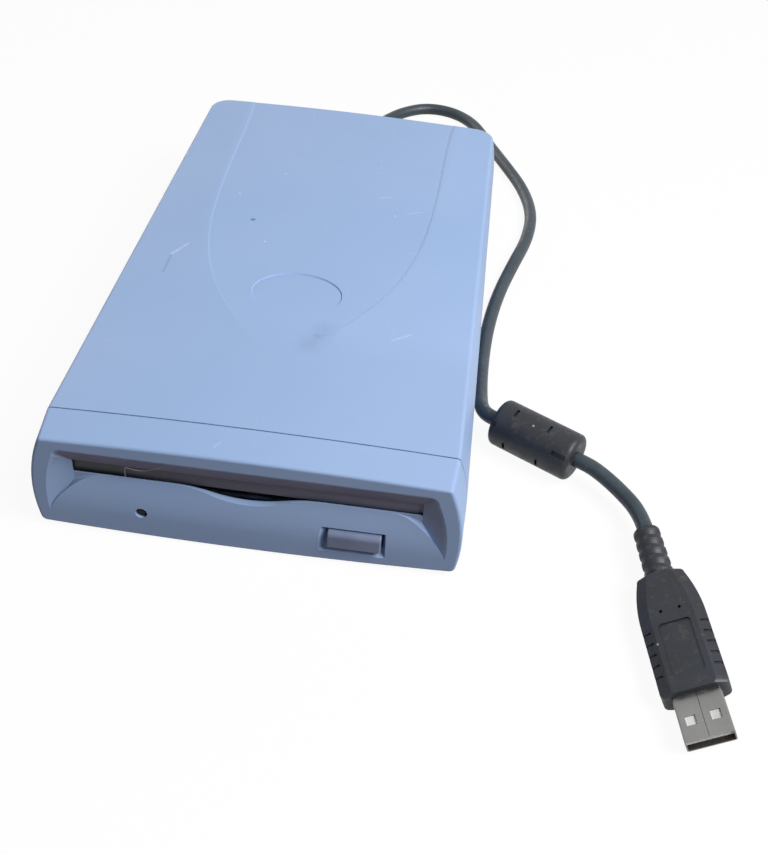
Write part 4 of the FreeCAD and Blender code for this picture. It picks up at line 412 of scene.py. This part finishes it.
def grey_plastic():
    """Grey-violet moulding of the button and, darker, of the door, with painted shade over the door's left
    end; a little glossier than the case.
    """
    skin = Skin("grey_violet_moulding")
    button = skin.mottle(GREY_VIOLET, GREY_VIOLET_DARK, 120.0, 3.0, 0.35, 0.7)
    across = skin.maths("ADD", skin.axes["X"], skin.uneven(-DOOR_WANDER, DOOR_WANDER, 60.0, 3.0))
    door = skin.mix(skin.ramp(across, *DOOR_FADE), linear(DOOR_GREY), linear(DOOR_LIGHT))
    # painted shade: the door's left end darker
    door = skin.mix(skin.ramp(across, *DOOR_EDGE), linear(DOOR_LEFT_PAINTED_SHADE), door)
    tone = skin.mix(skin.ramp(skin.axes["Z"], *DOOR_ABOVE), button, door)
    tone = skin.stain(tone, skin.flecks(260.0, 0.05, 0.25), 0.4, DUST)
    return skin.surface(Base_Color=tone, Roughness=skin.uneven(0.34, 0.46, 700.0),
                        Specular_IOR_Level=DARK_SHEEN, Normal=skin.bump(skin.noise(2400.0), 0.03 * MM, 0.3))


def smoked_lens():
    """Nearly black, smooth light pipe."""
    skin = Skin("smoked_lens")
    tone = skin.mottle(SMOKE, SMOKE_PALE, 300.0, 2.0, 0.4, 0.6)
    return skin.surface(Base_Color=tone, Roughness=skin.uneven(0.10, 0.20, 500.0),
                        Specular_IOR_Level=LENS_SHEEN)


def cord_jacket():
    """Soft slate-grey jacket with fine grain and faint dust."""
    skin = Skin("slate_jacket")
    tone = skin.mottle(JACKET, JACKET_DARK, 90.0, 4.0, 0.35, 0.7)
    tone = skin.stain(tone, skin.ramp(skin.noise(420.0, 5.0), 0.62, 0.74), 0.14, DUST)
    return skin.surface(Base_Color=tone, Roughness=skin.uneven(0.36, 0.5, 500.0, 3.0),
                        Normal=skin.bump(skin.noise(1500.0, 3.0), 0.06 * MM, 0.35))


def moulded_black():
    """Dark moulding of plug, strain relief and ferrite core: fine grain, a film of dust and a few specks."""
    skin = Skin("dark_moulding")
    tone = skin.mottle(MOULD, MOULD_DARK, 150.0, 3.0, 0.35, 0.65)
    film = skin.ramp(skin.noise(330.0, 6.0, rough=0.7), 0.55, 0.72)
    tone = skin.stain(tone, film, 0.30, MOULD_FILM)
    tone = skin.stain(tone, skin.flecks(300.0, 0.12, 0.20), 0.9, DUST)
    return skin.surface(Base_Color=tone, Roughness=skin.uneven(0.40, 0.58, 480.0, 3.0),
                        Normal=skin.bump(skin.noise(1900.0, 3.0), 0.08 * MM, 0.5))


def rubber():
    """Black rubber with dust in its grain."""
    skin = Skin("black_rubber")
    tone = skin.mottle(RUBBER_BLACK, RUBBER_DUSTY, 260.0, 4.0, 0.4, 0.75)
    return skin.surface(Base_Color=tone, Roughness=skin.uneven(0.7, 0.85, 400.0),
                        Normal=skin.bump(skin.noise(1300.0, 3.0), 0.12 * MM, 0.5))


def metal(name, colour, dark, rough, brushed=(1.0, 0.04, 1.0), scale=1400.0):
    """Metal with a drawn or ground grain and slight stains."""
    skin = Skin(name)
    grain = skin.noise(scale, 3.0, skin.stretched(brushed))
    tone = skin.stain(linear(colour), skin.ramp(skin.noise(75.0, 4.0), 0.45, 0.75), 0.6, dark)
    uneven = skin.ramp(grain, *skin.NOISE_SPAN, rough - 0.06, rough + 0.08)
    return skin.surface(Base_Color=tone, Metallic=1.0, Roughness=uneven,
                        Normal=skin.bump(grain, 0.03 * MM, 0.4))


def circuit_board():
    """Green board: traces as a fine rectangular pattern under the mask, with pads."""
    skin = Skin("green_board")
    traces = skin.add("ShaderNodeTexBrick", {"Vector": skin.place, "Scale": 260.0, "Mortar Size": 0.035},
                      offset=0.37)
    lines = skin.ramp(traces.outputs["Fac"], 0.2, 0.8)
    tone = skin.mix(lines, linear(BOARD_GREEN), linear(TRACE_GREEN))
    tone = skin.mix(skin.flecks(330.0, 0.16, 0.12), tone, linear(PAD_TIN))
    return skin.surface(Base_Color=tone, Roughness=skin.uneven(0.22, 0.36, 300.0),
                        Normal=skin.bump(lines, 0.05 * MM, 0.6))


def plain_moulding(name, colour, shade, low, high, gloss=0.0):
    """Engineering plastic, ceramic or film: gentle mottling and fine grain."""
    skin = Skin(name)
    tone = skin.mottle(colour, shade, 200.0, 4.0, 0.35, 0.7)
    return skin.surface(Base_Color=tone, Coat_Weight=gloss, Roughness=skin.uneven(low, high, 600.0),
                        Normal=skin.bump(skin.noise(1700.0, 3.0), 0.04 * MM, 0.4))


def copper_wire():
    """Wound wire: close rings that show as a fine ripple."""
    skin = Skin("enamelled_copper")
    rings = skin.add("ShaderNodeTexWave", {"Vector": skin.place, "Scale": 900.0, "Distortion": 0.6},
                     wave_type="RINGS", rings_direction="Z").outputs["Fac"]
    tone = skin.mix(rings, linear(COPPER_DARK), linear(COPPER_LIGHT))
    return skin.surface(Base_Color=tone, Metallic=0.85, Roughness=skin.uneven(0.28, 0.42, 400.0),
                        Normal=skin.bump(rings, 0.08 * MM, 0.7))


# named as the record's material slots, with one more for the lint
MATERIALS = {
    "case_plastic": case_plastic(),
    "dark_plastic": grey_plastic(),
    "lens_plastic": smoked_lens(),
    "rubber": rubber(),
    "steel": metal("zinc_steel", (176, 178, 182), (140, 142, 150), 0.36),
    "bright_steel": metal("polished_steel", (196, 196, 198), (164, 166, 170), 0.20),
    "board": circuit_board(),
    "copper": copper_wire(),
    "magnet": plain_moulding("bonded_magnet", (62, 62, 66), (44, 44, 48), 0.5, 0.65),
    "moulding": plain_moulding("filled_plastic", (50, 50, 54), (36, 36, 40), 0.4, 0.55),
    "white_plastic": plain_moulding("white_nylon", WHITE_NYLON, (204, 208, 204), 0.3, 0.42),
    "ceramic": plain_moulding("lapped_ceramic", (150, 138, 124), (124, 114, 102), 0.12, 0.2, 0.4),
    "flex": plain_moulding("flex_film", (206, 198, 184), (176, 160, 132), 0.24, 0.34, 0.2),
    "cord_jacket": cord_jacket(),
    "plug_moulding": moulded_black(),
    "plug_steel": metal("nickel_steel", SHELL_STEEL, (114, 113, 111), 0.34, (1.0, 1.0, 0.05), 900.0),
    "lint": plain_moulding("lint_fibre", (168, 166, 164), (138, 136, 136), 0.7, 0.85),
    "gold": metal("gold_flash", (222, 178, 96), (190, 146, 74), 0.24),
}

# nodes whose finish is not the one of their slot: the relief is as dark as the plug
OWN_FINISH = {"plug_strain_relief": "plug_moulding"}


def dress_nodes():
    """Every solid gets the finish of its slot in the record, apart from those named above."""
    for part in frame["record"]["subparts"]:
        node = frame["nodes"][part["node"]]
        finish = OWN_FINISH.get(part["node"], part["material_slot"])
        for slot in node.material_slots:
            slot.material = MATERIALS[finish]


# ================================================================ cord and lint
def add_object(name, data):
    thing = bpy.data.objects.new(name, data)
    bpy.context.scene.collection.objects.link(thing)
    return thing


def smooth_line(name, routes, radius, segments):
    """A curve of round section, with one smooth spline for each route in millimetres."""
    curve = bpy.data.curves.new(name, "CURVE")
    curve.dimensions = "3D"
    curve.bevel_depth = radius
    curve.resolution_u = segments
    for route in routes:
        line = curve.splines.new("NURBS")
        line.points.add(len(route) - 1)
        for point, place in zip(line.points, route):
            point.co = tuple(v * MM for v in place) + (1.0,)
        line.order_u = 3
        line.use_endpoint_u = True
    return curve


def usb_cord():
    """The cord's jacket, in place of the plain tube."""
    curve = smooth_line("usb_cord_line", [CORD_ROUTE], CORD_DIAMETER / 2, CORD_SEGMENTS)
    curve.bevel_resolution = CORD_ROUNDNESS
    curve.use_fill_caps = True
    curve.materials.append(MATERIALS["cord_jacket"])
    cord = add_object("usb_cord_jacket", curve)
    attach(cord, "enclosure")
    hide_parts("usb_cord")


def lint_threads():
    """Two fine threads caught at the edge of the slot."""
    curve = smooth_line("lint_line", LINT_ROUTES, LINT_RADIUS * MM, LINT_SEGMENTS)
    curve.materials.append(MATERIALS["lint"])
    threads = add_object("slot_lint", curve)
    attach(threads, "enclosure")


# ================================================================ stage
def make_world():
    """Weak fill on the object, and plain white where the background is seen."""
    world = bpy.data.worlds.new("studio")
    world.use_nodes = True
    nodes = Nodes(world.node_tree)
    fill = nodes.tree.nodes["Background"]
    nodes.put(fill.inputs["Color"], WORLD_FILL + (1.0,))
    white = nodes.add("ShaderNodeBackground", {"Color": WORLD_SEEN + (1.0,)})
    nodes.finish_with("World Output", nodes.seen_directly(), fill, white)
    bpy.context.scene.world = world


def make_floor():
    """Pale floor that keeps the shadow, and throws less light back on the object than it shows."""
    half = FLOOR_HALF
    corners = [(-half, -half, 0), (half, -half, 0), (half, half, 0), (-half, half, 0)]
    mesh = bpy.data.meshes.new("floor")
    mesh.from_pydata(corners, [], [(0, 1, 2, 3)])
    material = bpy.data.materials.new("pale_floor")
    material.use_nodes = True
    nodes = Nodes(material.node_tree)
    seen = nodes.seen_directly()
    shader = nodes.tree.nodes["Principled BSDF"]
    nodes.put(shader.inputs["Base Color"], nodes.mix(seen, FLOOR_BOUNCE + (1.0,), FLOOR_SEEN + (1.0,)))
    nodes.put(shader.inputs["Roughness"], FLOOR_ROUGH)
    white = nodes.add("ShaderNodeEmission")
    nodes.finish_with("Material Output", nodes.times(seen, FLOOR_WHITE), shader, white)
    mesh.materials.append(material)
    floor = add_object("floor", mesh)


def panel_light(name, place, size, power):
    """Square lamp that faces the middle of the drive."""
    light = bpy.data.lights.new(name, "AREA")
    light.shape = "SQUARE"
    light.size = size
    light.energy = power
    lamp = add_object(name, light)
    lamp.location = place
    lamp.rotation_euler = (LAMP_AIM - place).to_track_quat("-Z", "Y").to_euler()


def make_camera():
    """Camera that looks at its target from an azimuth and elevation, rolled about its own axis."""
    azimuth, elevation = math.radians(CAMERA_AZIMUTH), math.radians(CAMERA_ELEVATION)
    back = Vector((math.sin(azimuth) * math.cos(elevation), -math.cos(azimuth) * math.cos(elevation),
                   math.sin(elevation)))
    level = (-back).cross(Vector((0, 0, 1))).normalized()
    above = level.cross(-back)
    roll = math.radians(CAMERA_ROLL)
    right = level * math.cos(roll) + above * math.sin(roll)
    up = above * math.cos(roll) - level * math.sin(roll)
    data = bpy.data.cameras.new("camera")
    data.lens = CAMERA_LENS
    data.shift_x, data.shift_y = CAMERA_SHIFT
    data.clip_start = CAMERA_NEAR
    camera = add_object("camera", data)
    turn = Matrix((right, up, back)).transposed().to_4x4()
    camera.matrix_world = Matrix.Translation(CAMERA_TARGET + back * CAMERA_DISTANCE) @ turn
    bpy.context.scene.camera = camera


# ================================================================ the scene
dress_nodes()
usb_cord()
lint_threads()
make_world()
make_floor()
panel_light("key", KEY_PLACE, KEY_SIZE, KEY_POWER)
panel_light("back", BACK_PLACE, BACK_SIZE, BACK_POWER)
make_camera()
bpy.context.scene.view_settings.view_transform = "Standard"
